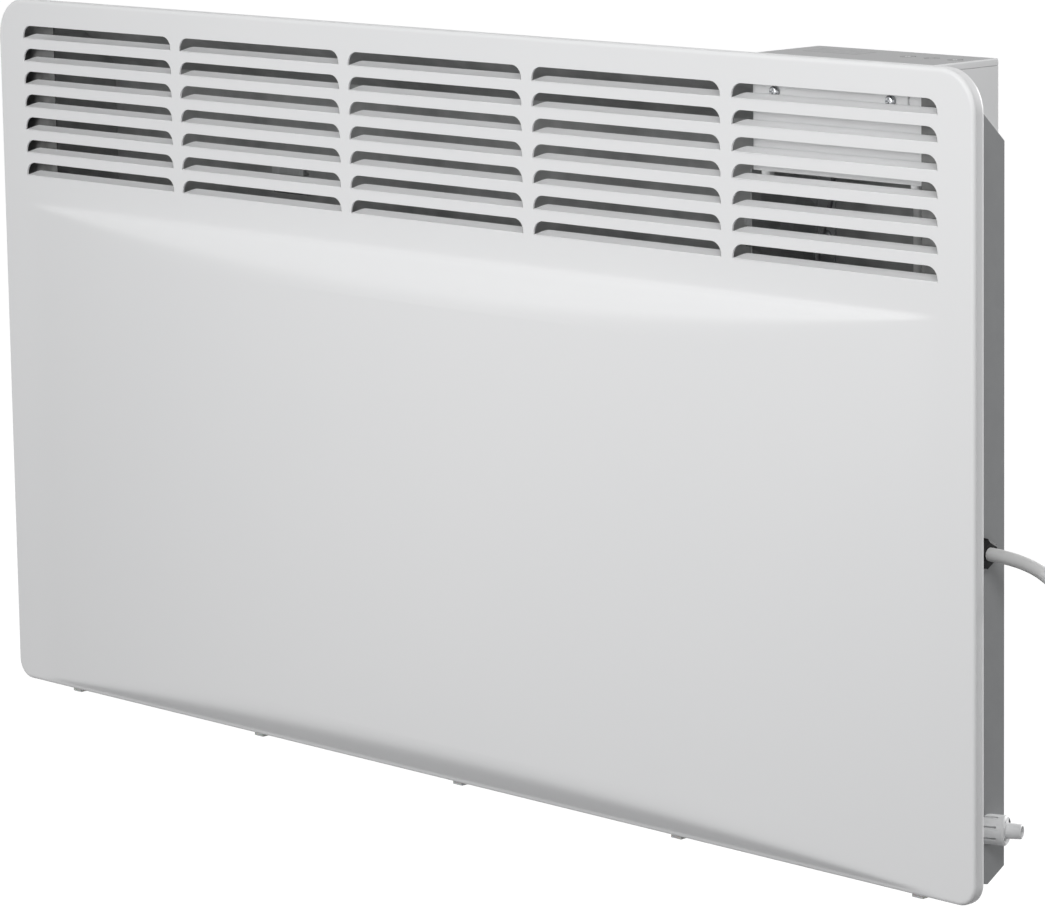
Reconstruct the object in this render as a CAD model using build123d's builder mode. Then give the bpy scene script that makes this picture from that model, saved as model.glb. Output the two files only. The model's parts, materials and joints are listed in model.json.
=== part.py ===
from build123d import *
import math
import os

# Wall panel convector heater, in millimetres.
# X runs to the right as seen from the front, Y towards the wall and Z up.
# The origin is on the wall, at the centre of the bracket's four screw holes.

# ---------------------------------------------------------------- driving dimensions
# front panel
panel_width = 719.0
panel_height = 389.0
panel_corner = 20.5
panel_sheet = 1.0
panel_rim = 8.0
panel_roll = 2.2
hem_width = 5.0
bow_margin = 28.5
bow_depth = 13.0
bow_gap = 16.82
bow_foot = 2.5
upper_crescent = 16.5
lower_crescent = 13.0

# louvres
louvre_columns = 5
louvre_rows = 7
louvre_margin = 22.15
column_gap = 7.3
row_pitch = 12.78
slot_height = 7.0
slot_round = 6.4
slot_margin = 14.5
flap_length = 6.4
flap_rise = 20.0
flap_inset = 0.8
flap_round = 5.76
flap_gap = 0.6
louvre_zone_gap = 2.0

# rear casing
wall_gap = 20.0
casing_depth = 58.0
casing_sheet = 1.0
side_inset = 31.5
roof_drop = 10.5
shoulder_drop = 28.5
slope_run = 31.0
heel_height = 4.0
keel_drop = 7.0
keel_run = 12.0
inlet_strip = 16.0
lip_height = 6.0
side_front_height = 12.0
side_flange = 10.0
flange_gap = 0.1
baffle_inset = 6.5
baffle_hem_lap = 2.5
inlet_hole_length = 21.0
inlet_hole_width = 5.0
inlet_hole_pitch = 26.0
bead_width = 12.0
bead_rise = 1.5
bead_heights = (110.0, 190.0)
bead_end_gap = 27.0

# control box
box_width = 113.0
box_side_gap = 1.0
box_top_drop = 0.8
box_height = 55.7
box_rear_gap = 0.4
box_wall = 2.0
box_corner = 1.2
notch_gap = 0.6
cap_height = 3.3
cap_rim = 1.5
cap_bevel = 0.4
inlay_sheet = 1.2
piece_gap = 0.2
screw_head_gap = 0.35

# buttons
button_count = 3
button_radius = 3.6
button_pitch = 14.5
button_from_right = 11.0
button_from_rear = 18.5
button_travel = 0.6
button_gap = 0.3
button_bevel = 0.4
button_flange = 1.4
button_flange_height = 0.8
button_stem_radius = 1.4
button_stem_length = 1.6

# wall bracket
mount_height = 155.0
bracket_inset = 182.0
bracket_hole_rise = 190.0
bracket_hole_radius = 2.75
bracket_sheet = 1.5
leg_width = 30.0
leg_above_hook = 19.0
leg_foot = 6.0
crossbar_height = 44.0
hook_drop = 51.0
hook_width = 26.0
hook_lip = 7.0
hook_gap = 2.4
slit_height = 12.5
slit_gap = 1.5
fit_gap = 0.3

# latch
latch_travel = 6.0
latch_width = 12.0
latch_sheet = 2.4
latch_nose_height = 18.0
latch_catch = 4.0
latch_catch_slope = 1.2
latch_catch_gap = 0.4
latch_rear_gap = 1.0
latch_tab_drop = 10.0
latch_tab_depth = 4.0
latch_tab_height = 5.0
latch_arm_rise = 14.0
latch_runner_drop = 6.0
latch_runner_length = 20.0
latch_slot_gap = 0.6

# lead and sensor
lead_diameter = 6.5
lead_height = 157.5
lead_from_rear = 16.0
lead_from_box_side = 36.0
lead_bend = 30.0
grommet_across = 12.7
grommet_out = 5.0
grommet_chamfer = 1.5
grommet_body_radius = 5.5
grommet_inner = 5.0
sensor_height = 24.0
sensor_from_rear = 12.0
collar_diameter = 14.5
collar_length = 9.6
collar_bevel = 0.8
sensor_body_radius = 4.0
stem_diameter = 7.7
stem_tip_diameter = 7.0
stem_bevel = 0.5
stem_bore = 2.6
stem_wall = 0.4
stem_spigot = 2.0
sensor_stem_length = 7.4
sensor_tilt = 24.0
bore_gap = 0.1

# ---------------------------------------------------------------- places worked out from them
panel_foot_z = -mount_height
panel_mid_z = panel_foot_z + panel_height / 2
panel_top_z = panel_foot_z + panel_height
casing_rear_y = -wall_gap
face_y = casing_rear_y - casing_depth
rim_rear_y = face_y + panel_rim
panel_inner_y = face_y + panel_sheet
casing_side_x = panel_width / 2 - side_inset
casing_inner_x = casing_side_x - casing_sheet
bracket_span = panel_width - 2 * bracket_inset
casing_inner_y = casing_rear_y - casing_sheet
casing_front_y = panel_inner_y + flange_gap
roof_z = panel_top_z - roof_drop
shoulder_z = roof_z - shoulder_drop
heel_z = panel_foot_z + heel_height
keel_z = heel_z - keel_drop
inlet_y = face_y + inlet_strip
box_right_x = casing_inner_x - box_side_gap
box_left_x = box_right_x - box_width
box_mid_x = box_right_x - box_width / 2
box_rear_y = casing_inner_y - box_rear_gap
box_top_z = panel_top_z - box_top_drop
box_foot_z = box_top_z - box_height
cap_foot_z = box_top_z - cap_height

# louvres: even columns between the margins, each slot with a flap that rises inwards
slot_width = (panel_width - 2 * louvre_margin - (louvre_columns - 1) * column_gap) / louvre_columns
column_pitch = slot_width + column_gap
slot_top_z = panel_top_z - slot_margin
slot_columns = [(i - (louvre_columns - 1) / 2) * column_pitch for i in range(louvre_columns)]
slot_feet = [slot_top_z - slot_height - j * row_pitch for j in range(louvre_rows)]
flap_cos = math.cos(math.radians(flap_rise))
flap_sin = math.sin(math.radians(flap_rise))
flap_half = slot_width / 2 - flap_inset
flap_reach = flap_length * flap_cos + panel_sheet * flap_sin
flap_zone_depth = flap_length + flap_gap
louvre_zone_foot_z = slot_feet[-1] - louvre_zone_gap
louvre_zone_height = slot_top_z + flap_gap - louvre_zone_foot_z

# the bow starts under the lowest louvre
bow_half_width = panel_width / 2 - bow_margin
bow_top_z = slot_feet[-1] - bow_gap
bow_foot_z = panel_foot_z + bow_foot

# the control box's front stands clear of the flaps by its screw heads
cover_sheet = 1.6
screw_head_height = 2.0
box_front_y = face_y + flap_reach + screw_head_gap + screw_head_height + cover_sheet / 2
box_mid_y = (box_front_y + box_rear_y) / 2
box_depth = box_rear_y - box_front_y

os.makedirs("parts", exist_ok=True)
finished = []


def keep(piece, label):
    """Name a finished piece and write it to its own file."""
    piece.label = label
    export_step(piece, f"parts/{label}.step")
    finished.append(piece)


def upright(y, x=0.0, z=0.0):
    """A plane that stands across the heater at depth y and faces the room."""
    return Plane(origin=(x, y, z), x_dir=(1, 0, 0), z_dir=(0, -1, 0))


def sideways(x):
    """A plane across X, with its own x along Y and its own y along Z."""
    return Plane(origin=(x, 0, 0), x_dir=(0, 1, 0), z_dir=(1, 0, 0))


# ---------------------------------------------------------------- front panel
# The bowed field is a slice of a wide cylinder between two sloping crescents.
def bowed_field(shift):
    """The bow as a solid, moved towards the wall by shift."""
    chord_y = face_y + shift
    with BuildPart() as bow:
        with BuildSketch(Plane.XY.offset(panel_foot_z)):
            with BuildLine():
                Line((-bow_half_width, chord_y), (bow_half_width, chord_y))
                ThreePointArc(
                    (bow_half_width, chord_y),
                    (0, chord_y - bow_depth),
                    (-bow_half_width, chord_y),
                )
            make_face()
        extrude(amount=panel_height)
        with BuildSketch(sideways(0)):
            with BuildLine():
                Polyline(
                    (chord_y, bow_top_z),
                    (chord_y - bow_depth, bow_top_z - upper_crescent),
                    (chord_y - bow_depth, bow_foot_z + lower_crescent),
                    (chord_y, bow_foot_z),
                    close=True,
                )
            make_face()
        extrude(amount=panel_width / 2, both=True, mode=Mode.INTERSECT)
    return bow.part


with BuildPart() as front_panel:
    with BuildSketch(upright(rim_rear_y, z=panel_mid_z)):
        RectangleRounded(panel_width, panel_height, panel_corner)
    extrude(amount=panel_rim)
    fillet(front_panel.faces().sort_by(Axis.Y)[0].edges(), radius=panel_roll)
    add(bowed_field(0))
    # the hollow back, with the returned hem left standing round it
    with BuildSketch(upright(rim_rear_y - panel_sheet, z=panel_mid_z)):
        RectangleRounded(
            panel_width - 2 * panel_sheet,
            panel_height - 2 * panel_sheet,
            panel_corner - panel_sheet,
        )
    extrude(amount=panel_rim - 2 * panel_sheet, mode=Mode.SUBTRACT)
    with BuildSketch(upright(rim_rear_y, z=panel_mid_z)):
        RectangleRounded(
            panel_width - 2 * (panel_sheet + hem_width),
            panel_height - 2 * (panel_sheet + hem_width),
            panel_corner - panel_sheet - hem_width,
        )
    extrude(amount=panel_sheet, mode=Mode.SUBTRACT)
    add(bowed_field(panel_sheet), mode=Mode.SUBTRACT)
    # the louvre slots: square corners at the foot, quarter-round ones at the top
    with BuildSketch(upright(panel_inner_y)):
        for column_x in slot_columns:
            for foot_z in slot_feet:
                with Locations((column_x, foot_z)):
                    Rectangle(slot_width, slot_height, align=(Align.CENTER, Align.MIN))
        slot_tops = [
            vertex
            for vertex in vertices()
            if min(abs(vertex.Y - foot_z) for foot_z in slot_feet) > slot_height / 2
        ]
        fillet(slot_tops, radius=slot_round)
    extrude(amount=panel_sheet, mode=Mode.SUBTRACT)
    # each slot's own metal, folded in from its foot as a rising flap
    flap_planes = [
        Plane(origin=(x, face_y, z), x_dir=(1, 0, 0), z_dir=(0, -flap_sin, flap_cos))
        for x in slot_columns
        for z in slot_feet
    ]
    with BuildSketch(*flap_planes):
        Rectangle(2 * flap_half, flap_length, align=(Align.CENTER, Align.MIN))
        fillet(vertices().group_by(Axis.Y)[-1], radius=flap_round)
    extrude(amount=-panel_sheet)

keep(front_panel.part, "front_panel")

# ---------------------------------------------------------------- rear casing
roof_rear_y = casing_rear_y - slope_run
keel_y = casing_rear_y - keel_run
side_front_z = panel_foot_z + side_front_height
hook_slit_z = shoulder_z - hook_drop
slit_width = hook_width + 2 * slit_gap
latch_slot_height = latch_sheet + latch_travel + 2 * latch_slot_gap
latch_slot_width = latch_width + 2 * latch_slot_gap
latch_nose_z = panel_foot_z + latch_nose_height
latch_slot_top_z = latch_nose_z + latch_slot_gap
lead_y = casing_rear_y - lead_from_rear
lead_z = panel_foot_z + lead_height
sensor_y = casing_rear_y - sensor_from_rear
sensor_z = panel_foot_z + sensor_height
bracket_leg_x = bracket_span / 2
baffle_width = panel_width / 2 - panel_sheet - baffle_hem_lap - casing_inner_x + baffle_inset
middle_bead_length = 2 * (bracket_leg_x - leg_width / 2 - bead_end_gap)
outer_bead_length = casing_side_x - bracket_leg_x - leg_width / 2 - 1.5 * bead_end_gap
outer_bead_x = (casing_side_x + bracket_leg_x + leg_width / 2) / 2

side_outline = [
    (casing_front_y, roof_z),
    (roof_rear_y, roof_z),
    (casing_rear_y, shoulder_z),
    (casing_rear_y, heel_z),
    (keel_y, keel_z),
    (inlet_y, heel_z),
    (casing_front_y, side_front_z),
]

with BuildPart() as rear_casing:
    with BuildSketch(sideways(-casing_side_x)):
        with BuildLine():
            Polyline(*side_outline, close=True)
        make_face()
    extrude(amount=2 * casing_side_x)
    # the hollow, open to the front and, ahead of the inlet lip, to the floor
    with BuildSketch(sideways(-casing_inner_x)):
        with BuildLine():
            Polyline(*side_outline, close=True)
        make_face()
        offset(amount=-casing_sheet, kind=Kind.INTERSECTION, mode=Mode.REPLACE)
        with Locations((casing_front_y, keel_z)):
            Rectangle(
                inlet_y - casing_front_y - casing_sheet,
                roof_z - keel_z - casing_sheet,
                align=(Align.MIN, Align.MIN),
            )
    extrude(amount=2 * casing_inner_x, mode=Mode.SUBTRACT)
    # the lip behind the inlet strip
    with BuildSketch(sideways(-casing_inner_x)):
        with Locations((inlet_y, heel_z - casing_sheet / 2)):
            Rectangle(casing_sheet, lip_height, align=(Align.MAX, Align.MIN))
    extrude(amount=2 * casing_inner_x)
    # flanges that lie against the panel's back
    for side in (-1, 1):
        with BuildSketch(upright(casing_front_y + casing_sheet)):
            with Locations((side * (casing_inner_x + side_flange / 2), (roof_z + side_front_z) / 2)):
                Rectangle(side_flange, roof_z - side_front_z - 2 * casing_sheet)
        extrude(amount=casing_sheet)
    # behind the louvres the sides stand clear of the folded flaps
    with BuildSketch(sideways(-casing_side_x - side_flange)):
        with Locations((casing_front_y, louvre_zone_foot_z)):
            Rectangle(flap_zone_depth, louvre_zone_height, align=(Align.MIN, Align.MIN))
    extrude(amount=2 * (casing_side_x + side_flange), mode=Mode.SUBTRACT)
    # the control box stands in a notch of the roof
    with BuildSketch(Plane.XY.offset(shoulder_z - casing_sheet)):
        with Locations((box_left_x - notch_gap, (face_y + casing_rear_y) / 2)):
            Rectangle(
                casing_inner_x - box_left_x + notch_gap,
                casing_depth,
                align=(Align.MIN, Align.CENTER),
            )
    extrude(amount=roof_z - shoulder_z + 2 * casing_sheet, mode=Mode.SUBTRACT)
    # baffle strips close the louvres' outer ends, as far as the panel's hem
    for side in (-1, 1):
        with BuildSketch(upright(casing_front_y + flap_zone_depth + casing_sheet)):
            with Locations((side * (casing_inner_x - baffle_inset + baffle_width / 2), louvre_zone_foot_z)):
                Rectangle(baffle_width, louvre_zone_height, align=(Align.CENTER, Align.MIN))
        extrude(amount=casing_sheet)
    # stiffening beads pressed outwards from the rear wall, between and beside the bracket's legs
    bead_places = [
        (x, panel_foot_z + height, length)
        for height in bead_heights
        for x, length in (
            (-outer_bead_x, outer_bead_length),
            (0, middle_bead_length),
            (outer_bead_x, outer_bead_length),
        )
    ]
    with BuildSketch(upright(casing_rear_y)):
        for bead_x, bead_z, bead_length in bead_places:
            with Locations((bead_x, bead_z)):
                SlotOverall(bead_length, bead_width)
    extrude(amount=-bead_rise)
    with BuildSketch(upright(casing_inner_y)):
        for bead_x, bead_z, bead_length in bead_places:
            with Locations((bead_x, bead_z)):
                SlotOverall(bead_length - 2 * casing_sheet, bead_width - 2 * casing_sheet)
    extrude(amount=-bead_rise, mode=Mode.SUBTRACT)
    # air holes through the sloping floor
    floor_run = keel_y - inlet_y
    floor_angle = math.atan2(heel_z - keel_z, floor_run)
    floor_mid = Plane(
        origin=(0, (keel_y + inlet_y) / 2, (keel_z + heel_z) / 2),
        x_dir=(1, 0, 0),
        z_dir=(0, -math.sin(floor_angle), -math.cos(floor_angle)),
    )
    floor_holes = int(2 * casing_inner_x / inlet_hole_pitch) - 1
    with BuildSketch(floor_mid):
        with GridLocations(inlet_hole_pitch, 1, floor_holes, 1):
            Rectangle(inlet_hole_length, inlet_hole_width)
    extrude(amount=-2 * casing_sheet, mode=Mode.SUBTRACT)
    # slits for the bracket's hooks and slots for its latches
    with BuildSketch(upright(casing_rear_y)):
        with Locations((-bracket_span / 2, hook_slit_z), (bracket_span / 2, hook_slit_z)):
            Rectangle(slit_width, slit_height, align=(Align.CENTER, Align.MAX))
        with Locations((-bracket_span / 2, latch_slot_top_z), (bracket_span / 2, latch_slot_top_z)):
            Rectangle(latch_slot_width, latch_slot_height, align=(Align.CENTER, Align.MAX))
    extrude(amount=2 * casing_sheet, mode=Mode.SUBTRACT)
    # holes in the right side for the grommet and the sensor collar
    with BuildSketch(sideways(casing_inner_x - casing_sheet)):
        with Locations((lead_y, lead_z)):
            Circle(grommet_body_radius + bore_gap)
        with Locations((sensor_y, sensor_z)):
            Circle(sensor_body_radius + bore_gap)
    extrude(amount=4 * casing_sheet, mode=Mode.SUBTRACT)

keep(rear_casing.part, "rear_casing")

# ---------------------------------------------------------------- clips under the panel
clip_width = 7.0
clip_count = 5
clip_end_gap = 42.5
clip_below = 2.5
clip_bevel = 1.2
clip_rise = 3.2
clip_nose = 3.4
clip_nose_sheet = 1.6
clip_nose_drop = 3.0
clip_pitch = (panel_width - 2 * clip_end_gap) / (clip_count - 1)
clip_foot_z = panel_foot_z - clip_below
clip_rear_y = inlet_y - casing_sheet - piece_gap
clip_front_y = rim_rear_y + piece_gap
clip_top_z = panel_foot_z + panel_sheet + hem_width + clip_rise

with BuildPart() as panel_clips:
    with BuildSketch(*[sideways((i - (clip_count - 1) / 2) * clip_pitch - clip_width / 2) for i in range(clip_count)]):
        with BuildLine():
            Polyline(
                (clip_front_y, clip_foot_z),
                (clip_rear_y - clip_bevel, clip_foot_z),
                (clip_rear_y, clip_foot_z + clip_bevel),
                (clip_rear_y, clip_top_z),
                (clip_front_y - clip_nose, clip_top_z),
                (clip_front_y - clip_nose, clip_top_z - clip_nose_sheet),
                (clip_front_y, clip_top_z - clip_nose_drop),
                close=True,
            )
        make_face()
    extrude(amount=clip_width)

keep(panel_clips.part, "panel_clips")

# ---------------------------------------------------------------- control box
cover_left_margin = 2.5
cover_right_margin = 14.0
cover_foot_margin = 31.0
cover_top_margin = 3.4
cover_bevel = 0.4
cover_width = box_width - cover_left_margin - cover_right_margin
cover_height = cap_foot_z - box_foot_z - cover_foot_margin - cover_top_margin
cover_mid_x = box_left_x + cover_left_margin + cover_width / 2
cover_mid_z = box_foot_z + cover_foot_margin + cover_height / 2
cover_face_y = box_front_y - cover_sheet / 2
screw_drop = 10.8
screw_left_inset = 13.2
screw_right_inset = 10.3
screw_shank = 1.5
screw_shank_gap = 0.05
screw_hole_gap = 0.3
screw_head_radius = 2.9
screw_head_bevel = 0.9
screw_boss = 3.4
screw_boss_depth = 9.0
screw_boss_floor = 1.0
screw_depth = 7.0
screw_z = cover_mid_z + cover_height / 2 - screw_drop
screw_spacing = cover_width - screw_left_inset - screw_right_inset
screw_mid_x = cover_mid_x + (screw_left_inset - screw_right_inset) / 2
box_inner_rear_y = box_rear_y - box_wall
box_inner_left_x = box_left_x + box_wall
box_inner_right_x = box_right_x - box_wall
foot_radius = 3.0
foot_drop = 3.0
foot_left_inset = 7.0
foot_right_inset = 12.0
foot_front_inset = 3.2
lead_hole_radius = lead_diameter / 2 + fit_gap
lead_bay_x = box_right_x - lead_from_box_side
wire_hole_radius = 3.0
wire_hole_inset = 22.0
wire_hole_x = box_left_x + wire_hole_inset
ledge_height = 2.0
ledge_width = 3.0
board_sheet = 1.6
key_board_drop = 8.6
key_board_z = cap_foot_z - key_board_drop

with BuildPart() as control_box:
    with BuildSketch(Plane.XY.offset(box_foot_z)):
        with Locations((box_mid_x, box_mid_y)):
            Rectangle(box_width, box_depth)
    extrude(amount=cap_foot_z - box_foot_z - piece_gap / 2)
    fillet(control_box.edges().filter_by(Axis.Z), radius=box_corner)
    offset(amount=-box_wall, openings=control_box.faces().sort_by(Axis.Z)[-1])
    # rebate that takes the front cover
    with BuildSketch(upright(box_front_y)):
        with Locations((cover_mid_x, cover_mid_z)):
            Rectangle(cover_width + 2 * piece_gap, cover_height + 2 * piece_gap)
    extrude(amount=-cover_sheet / 2, mode=Mode.SUBTRACT)
    # bosses behind the cover's two screws
    with BuildSketch(upright(box_front_y + box_wall)):
        with Locations((screw_mid_x, screw_z)):
            with GridLocations(screw_spacing, 1, 2, 1):
                Circle(screw_boss)
    extrude(amount=-screw_boss_depth + box_wall)
    with BuildSketch(upright(box_front_y)):
        with Locations((screw_mid_x, screw_z)):
            with GridLocations(screw_spacing, 1, 2, 1):
                Circle(screw_shank)
    extrude(amount=-screw_boss_depth + screw_boss_floor, mode=Mode.SUBTRACT)
    # ledges that carry the key board
    for wall_x, inward in ((box_inner_left_x, Align.MIN), (box_inner_right_x, Align.MAX)):
        with BuildSketch(Plane.XY.offset(key_board_z)):
            with Locations((wall_x, box_mid_y)):
                Rectangle(ledge_width, box_depth - 2 * box_wall, align=(inward, Align.CENTER))
        extrude(amount=-ledge_height)
    # two feet below, and holes for the mains lead and the element's wires
    with BuildSketch(Plane.XY.offset(box_foot_z)):
        with Locations((box_mid_x + (foot_left_inset - foot_right_inset) / 2, box_front_y + foot_front_inset)):
            with GridLocations(box_width - foot_left_inset - foot_right_inset, 1, 2, 1):
                Circle(foot_radius)
    extrude(amount=-foot_drop)
    with BuildSketch(Plane.XY.offset(box_foot_z)):
        with Locations((lead_bay_x, lead_y)):
            Circle(lead_hole_radius)
        with Locations((wire_hole_x, lead_y)):
            Circle(wire_hole_radius)
    extrude(amount=box_wall, mode=Mode.SUBTRACT)

keep(control_box.part, "control_box")

with BuildPart() as box_cover:
    with BuildSketch(upright(box_front_y + cover_sheet / 2)):
        with Locations((cover_mid_x, cover_mid_z)):
            Rectangle(cover_width, cover_height)
    extrude(amount=cover_sheet)
    chamfer(box_cover.faces().sort_by(Axis.Y)[0].edges(), length=cover_bevel)
    with BuildSketch(upright(box_front_y + cover_sheet / 2)):
        with Locations((screw_mid_x, screw_z)):
            with GridLocations(screw_spacing, 1, 2, 1):
                Circle(screw_shank + screw_hole_gap)
    extrude(amount=cover_sheet, mode=Mode.SUBTRACT)

keep(box_cover.part, "box_cover")


def pan_screw(x, y, z, depth):
    """A pan-head screw that faces the room; its head's seat is at y."""
    with BuildPart() as screw:
        with BuildSketch(upright(y, x=x, z=z)):
            Circle(screw_head_radius)
        extrude(amount=screw_head_height)
        chamfer(screw.faces().sort_by(Axis.Y)[0].edges(), length=screw_head_bevel)
        with BuildSketch(upright(y, x=x, z=z)):
            Circle(screw_shank - screw_shank_gap)
        extrude(amount=-depth)
    return screw.part


with BuildPart() as box_screws:
    for side in (-1, 1):
        add(pan_screw(screw_mid_x + side * screw_spacing / 2, cover_face_y, screw_z, screw_depth))

keep(box_screws.part, "box_screws")

# ---------------------------------------------------------------- cap, inlay, window and buttons
cap_plate_top_z = box_top_z - inlay_sheet
cap_tongue = 1.6
cap_tongue_drop = 3.0
button_y = box_rear_y - button_from_rear
button_xs = [box_right_x - button_from_right - i * button_pitch for i in range(button_count)]
window_width = 34.0
window_depth = 15.0
window_inset = 30.0
window_lip = 2.0
window_bevel = 0.3
flange_top_gap = 0.1
window_x = box_left_x + window_inset
flange_top_z = cap_foot_z - flange_top_gap
opening_radius = button_radius + button_gap

with BuildPart() as box_cap:
    with BuildSketch(Plane.XY.offset(cap_foot_z)):
        with Locations((box_mid_x, box_mid_y)):
            RectangleRounded(box_width, box_depth, box_corner)
    extrude(amount=cap_height)
    chamfer(box_cap.faces().sort_by(Axis.Z)[-1].edges(), length=cap_bevel)
    with BuildSketch(Plane.XY.offset(box_top_z)):
        with Locations((box_mid_x, box_mid_y)):
            Rectangle(box_width - 2 * cap_rim, box_depth - 2 * cap_rim)
    extrude(amount=-inlay_sheet, mode=Mode.SUBTRACT)
    # tongue that drops inside the box's walls
    with BuildSketch(Plane.XY.offset(cap_foot_z)):
        with Locations((box_mid_x, box_mid_y)):
            Rectangle(box_width - 2 * (box_wall + piece_gap), box_depth - 2 * (box_wall + piece_gap))
            Rectangle(
                box_width - 2 * (box_wall + piece_gap + cap_tongue),
                box_depth - 2 * (box_wall + piece_gap + cap_tongue),
                mode=Mode.SUBTRACT,
            )
    extrude(amount=-cap_tongue_drop)
    with BuildSketch(Plane.XY.offset(box_top_z)):
        with Locations(*[(x, button_y) for x in button_xs]):
            Circle(opening_radius)
        with Locations((window_x, button_y)):
            Rectangle(window_width - 2 * window_lip, window_depth - 2 * window_lip)
    extrude(amount=-cap_height, mode=Mode.SUBTRACT)

keep(box_cap.part, "box_cap")

with BuildPart() as control_inlay:
    with BuildSketch(Plane.XY.offset(cap_plate_top_z)):
        with Locations((box_mid_x, box_mid_y)):
            Rectangle(box_width - 2 * (cap_rim + piece_gap), box_depth - 2 * (cap_rim + piece_gap))
        with Locations(*[(x, button_y) for x in button_xs]):
            Circle(opening_radius, mode=Mode.SUBTRACT)
        with Locations((window_x, button_y)):
            Rectangle(window_width, window_depth, mode=Mode.SUBTRACT)
    extrude(amount=inlay_sheet)

keep(control_inlay.part, "control_inlay")

with BuildPart() as display_window:
    with BuildSketch(Plane.XY.offset(cap_plate_top_z)):
        with Locations((window_x, button_y)):
            Rectangle(window_width - piece_gap, window_depth - piece_gap)
    extrude(amount=inlay_sheet)
    chamfer(display_window.faces().sort_by(Axis.Z)[-1].edges(), length=window_bevel)

keep(display_window.part, "display_window")

button_names = ["plus_button", "minus_button", "power_button"]
for button_x, button_name in zip(button_xs, button_names):
    with BuildPart() as button:
        with BuildSketch(Plane.XY.offset(flange_top_z - button_flange_height)):
            with Locations((button_x, button_y)):
                Circle(button_radius + button_flange)
        extrude(amount=button_flange_height)
        with BuildSketch(Plane.XY.offset(flange_top_z)):
            with Locations((button_x, button_y)):
                Circle(button_radius)
        extrude(amount=box_top_z - flange_top_z)
        chamfer(button.faces().sort_by(Axis.Z)[-1].edges(), length=button_bevel)
        with BuildSketch(Plane.XY.offset(flange_top_z - button_flange_height)):
            with Locations((button_x, button_y)):
                Circle(button_stem_radius)
        extrude(amount=-button_stem_length)
    keep(button.part, button_name)

# ---------------------------------------------------------------- boards inside the box
board_gap = 0.5
switch_side = 6.0
switch_body_height = 0.7
plunger_radius = 1.7
display_gap = 0.4
display_inset = 0.3
display_bevel = 0.6
key_board_top_z = key_board_z + board_sheet
key_board_width = box_width - 2 * (box_wall + board_gap)
key_board_depth = box_depth - 2 * (box_wall + piece_gap + cap_tongue + board_gap)
switch_top_z = flange_top_z - button_flange_height - button_stem_length - button_travel - piece_gap

with BuildPart() as key_board:
    with BuildSketch(Plane.XY.offset(key_board_z)):
        with Locations((box_mid_x, box_mid_y)):
            Rectangle(key_board_width, key_board_depth)
    extrude(amount=board_sheet)

keep(key_board.part, "key_board")

with BuildPart() as key_switches:
    with BuildSketch(Plane.XY.offset(key_board_top_z)):
        with Locations(*[(x, button_y) for x in button_xs]):
            Rectangle(switch_side, switch_side)
    extrude(amount=(switch_top_z - key_board_top_z) * switch_body_height)
    with BuildSketch(Plane.XY.offset(key_board_top_z)):
        with Locations(*[(x, button_y) for x in button_xs]):
            Circle(plunger_radius)
    extrude(amount=switch_top_z - key_board_top_z)

keep(key_switches.part, "key_switches")

with BuildPart() as display_module:
    with BuildSketch(Plane.XY.offset(key_board_top_z)):
        with Locations((window_x, button_y)):
            Rectangle(
                window_width - 2 * (window_lip + display_inset),
                window_depth - 2 * (window_lip + display_inset),
            )
    extrude(amount=cap_foot_z - display_gap - key_board_top_z)
    chamfer(display_module.faces().sort_by(Axis.Z)[-1].edges(), length=display_bevel)

keep(display_module.part, "display_module")

power_board_side_gap = 3.0
power_board_top_gap = 3.0
standoff_radius = 2.2
standoff_height = 4.0
standoff_inset = 5.0
relay_width, relay_depth, relay_height = 19.0, 15.0, 15.5
relay_offset, relay_rise, relay_bevel = 30.0, 17.0, 0.8
transformer_width, transformer_depth, transformer_height = 28.0, 18.0, 24.0
transformer_offset, transformer_rise = 1.0, 9.0
bobbin_width, bobbin_depth, bobbin_height = 14.0, 14.4, 29.0
capacitor_radius, capacitor_height, capacitor_bevel = 5.0, 15.0, 0.8
capacitor_offset, capacitor_rise = -32.0, 27.0
terminal_width, terminal_depth, terminal_height = 28.0, 12.0, 12.0
terminal_inset, terminal_rise, terminal_hole_radius = 23.0, 3.0, 2.6
power_board_y = box_inner_rear_y - standoff_height
power_board_foot_z = box_foot_z + box_wall
power_board_width = box_width - 2 * (box_wall + power_board_side_gap)
power_board_height = key_board_z - ledge_height - power_board_foot_z - power_board_top_gap
board_front_y = power_board_y - board_sheet

with BuildPart() as power_board:
    with BuildSketch(upright(power_board_y)):
        with Locations((box_mid_x, power_board_foot_z)):
            Rectangle(power_board_width, power_board_height, align=(Align.CENTER, Align.MIN))
    extrude(amount=board_sheet)
    with BuildSketch(upright(power_board_y)):
        with Locations((box_mid_x, power_board_foot_z + power_board_height / 2)):
            with GridLocations(
                power_board_width - 2 * standoff_inset,
                power_board_height - 2 * standoff_inset,
                2,
                2,
            ):
                Circle(standoff_radius)
    extrude(amount=-standoff_height)

keep(power_board.part, "power_board")

with BuildPart() as relay:
    with BuildSketch(upright(board_front_y)):
        with Locations((box_mid_x + relay_offset, power_board_foot_z + relay_rise)):
            Rectangle(relay_width, relay_height, align=(Align.CENTER, Align.MIN))
    extrude(amount=relay_depth)
    chamfer(relay.faces().sort_by(Axis.Y)[0].edges(), length=relay_bevel)

keep(relay.part, "relay")

with BuildPart() as transformer:
    transformer_mid_z = power_board_foot_z + transformer_rise + transformer_height / 2
    with BuildSketch(upright(board_front_y)):
        with Locations((box_mid_x + transformer_offset, transformer_mid_z)):
            Rectangle(transformer_width, transformer_height)
    extrude(amount=transformer_depth)
    with BuildSketch(upright(board_front_y)):
        with Locations((box_mid_x + transformer_offset, transformer_mid_z)):
            Rectangle(bobbin_width, bobbin_height)
    extrude(amount=bobbin_depth)

keep(transformer.part, "transformer")

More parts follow.
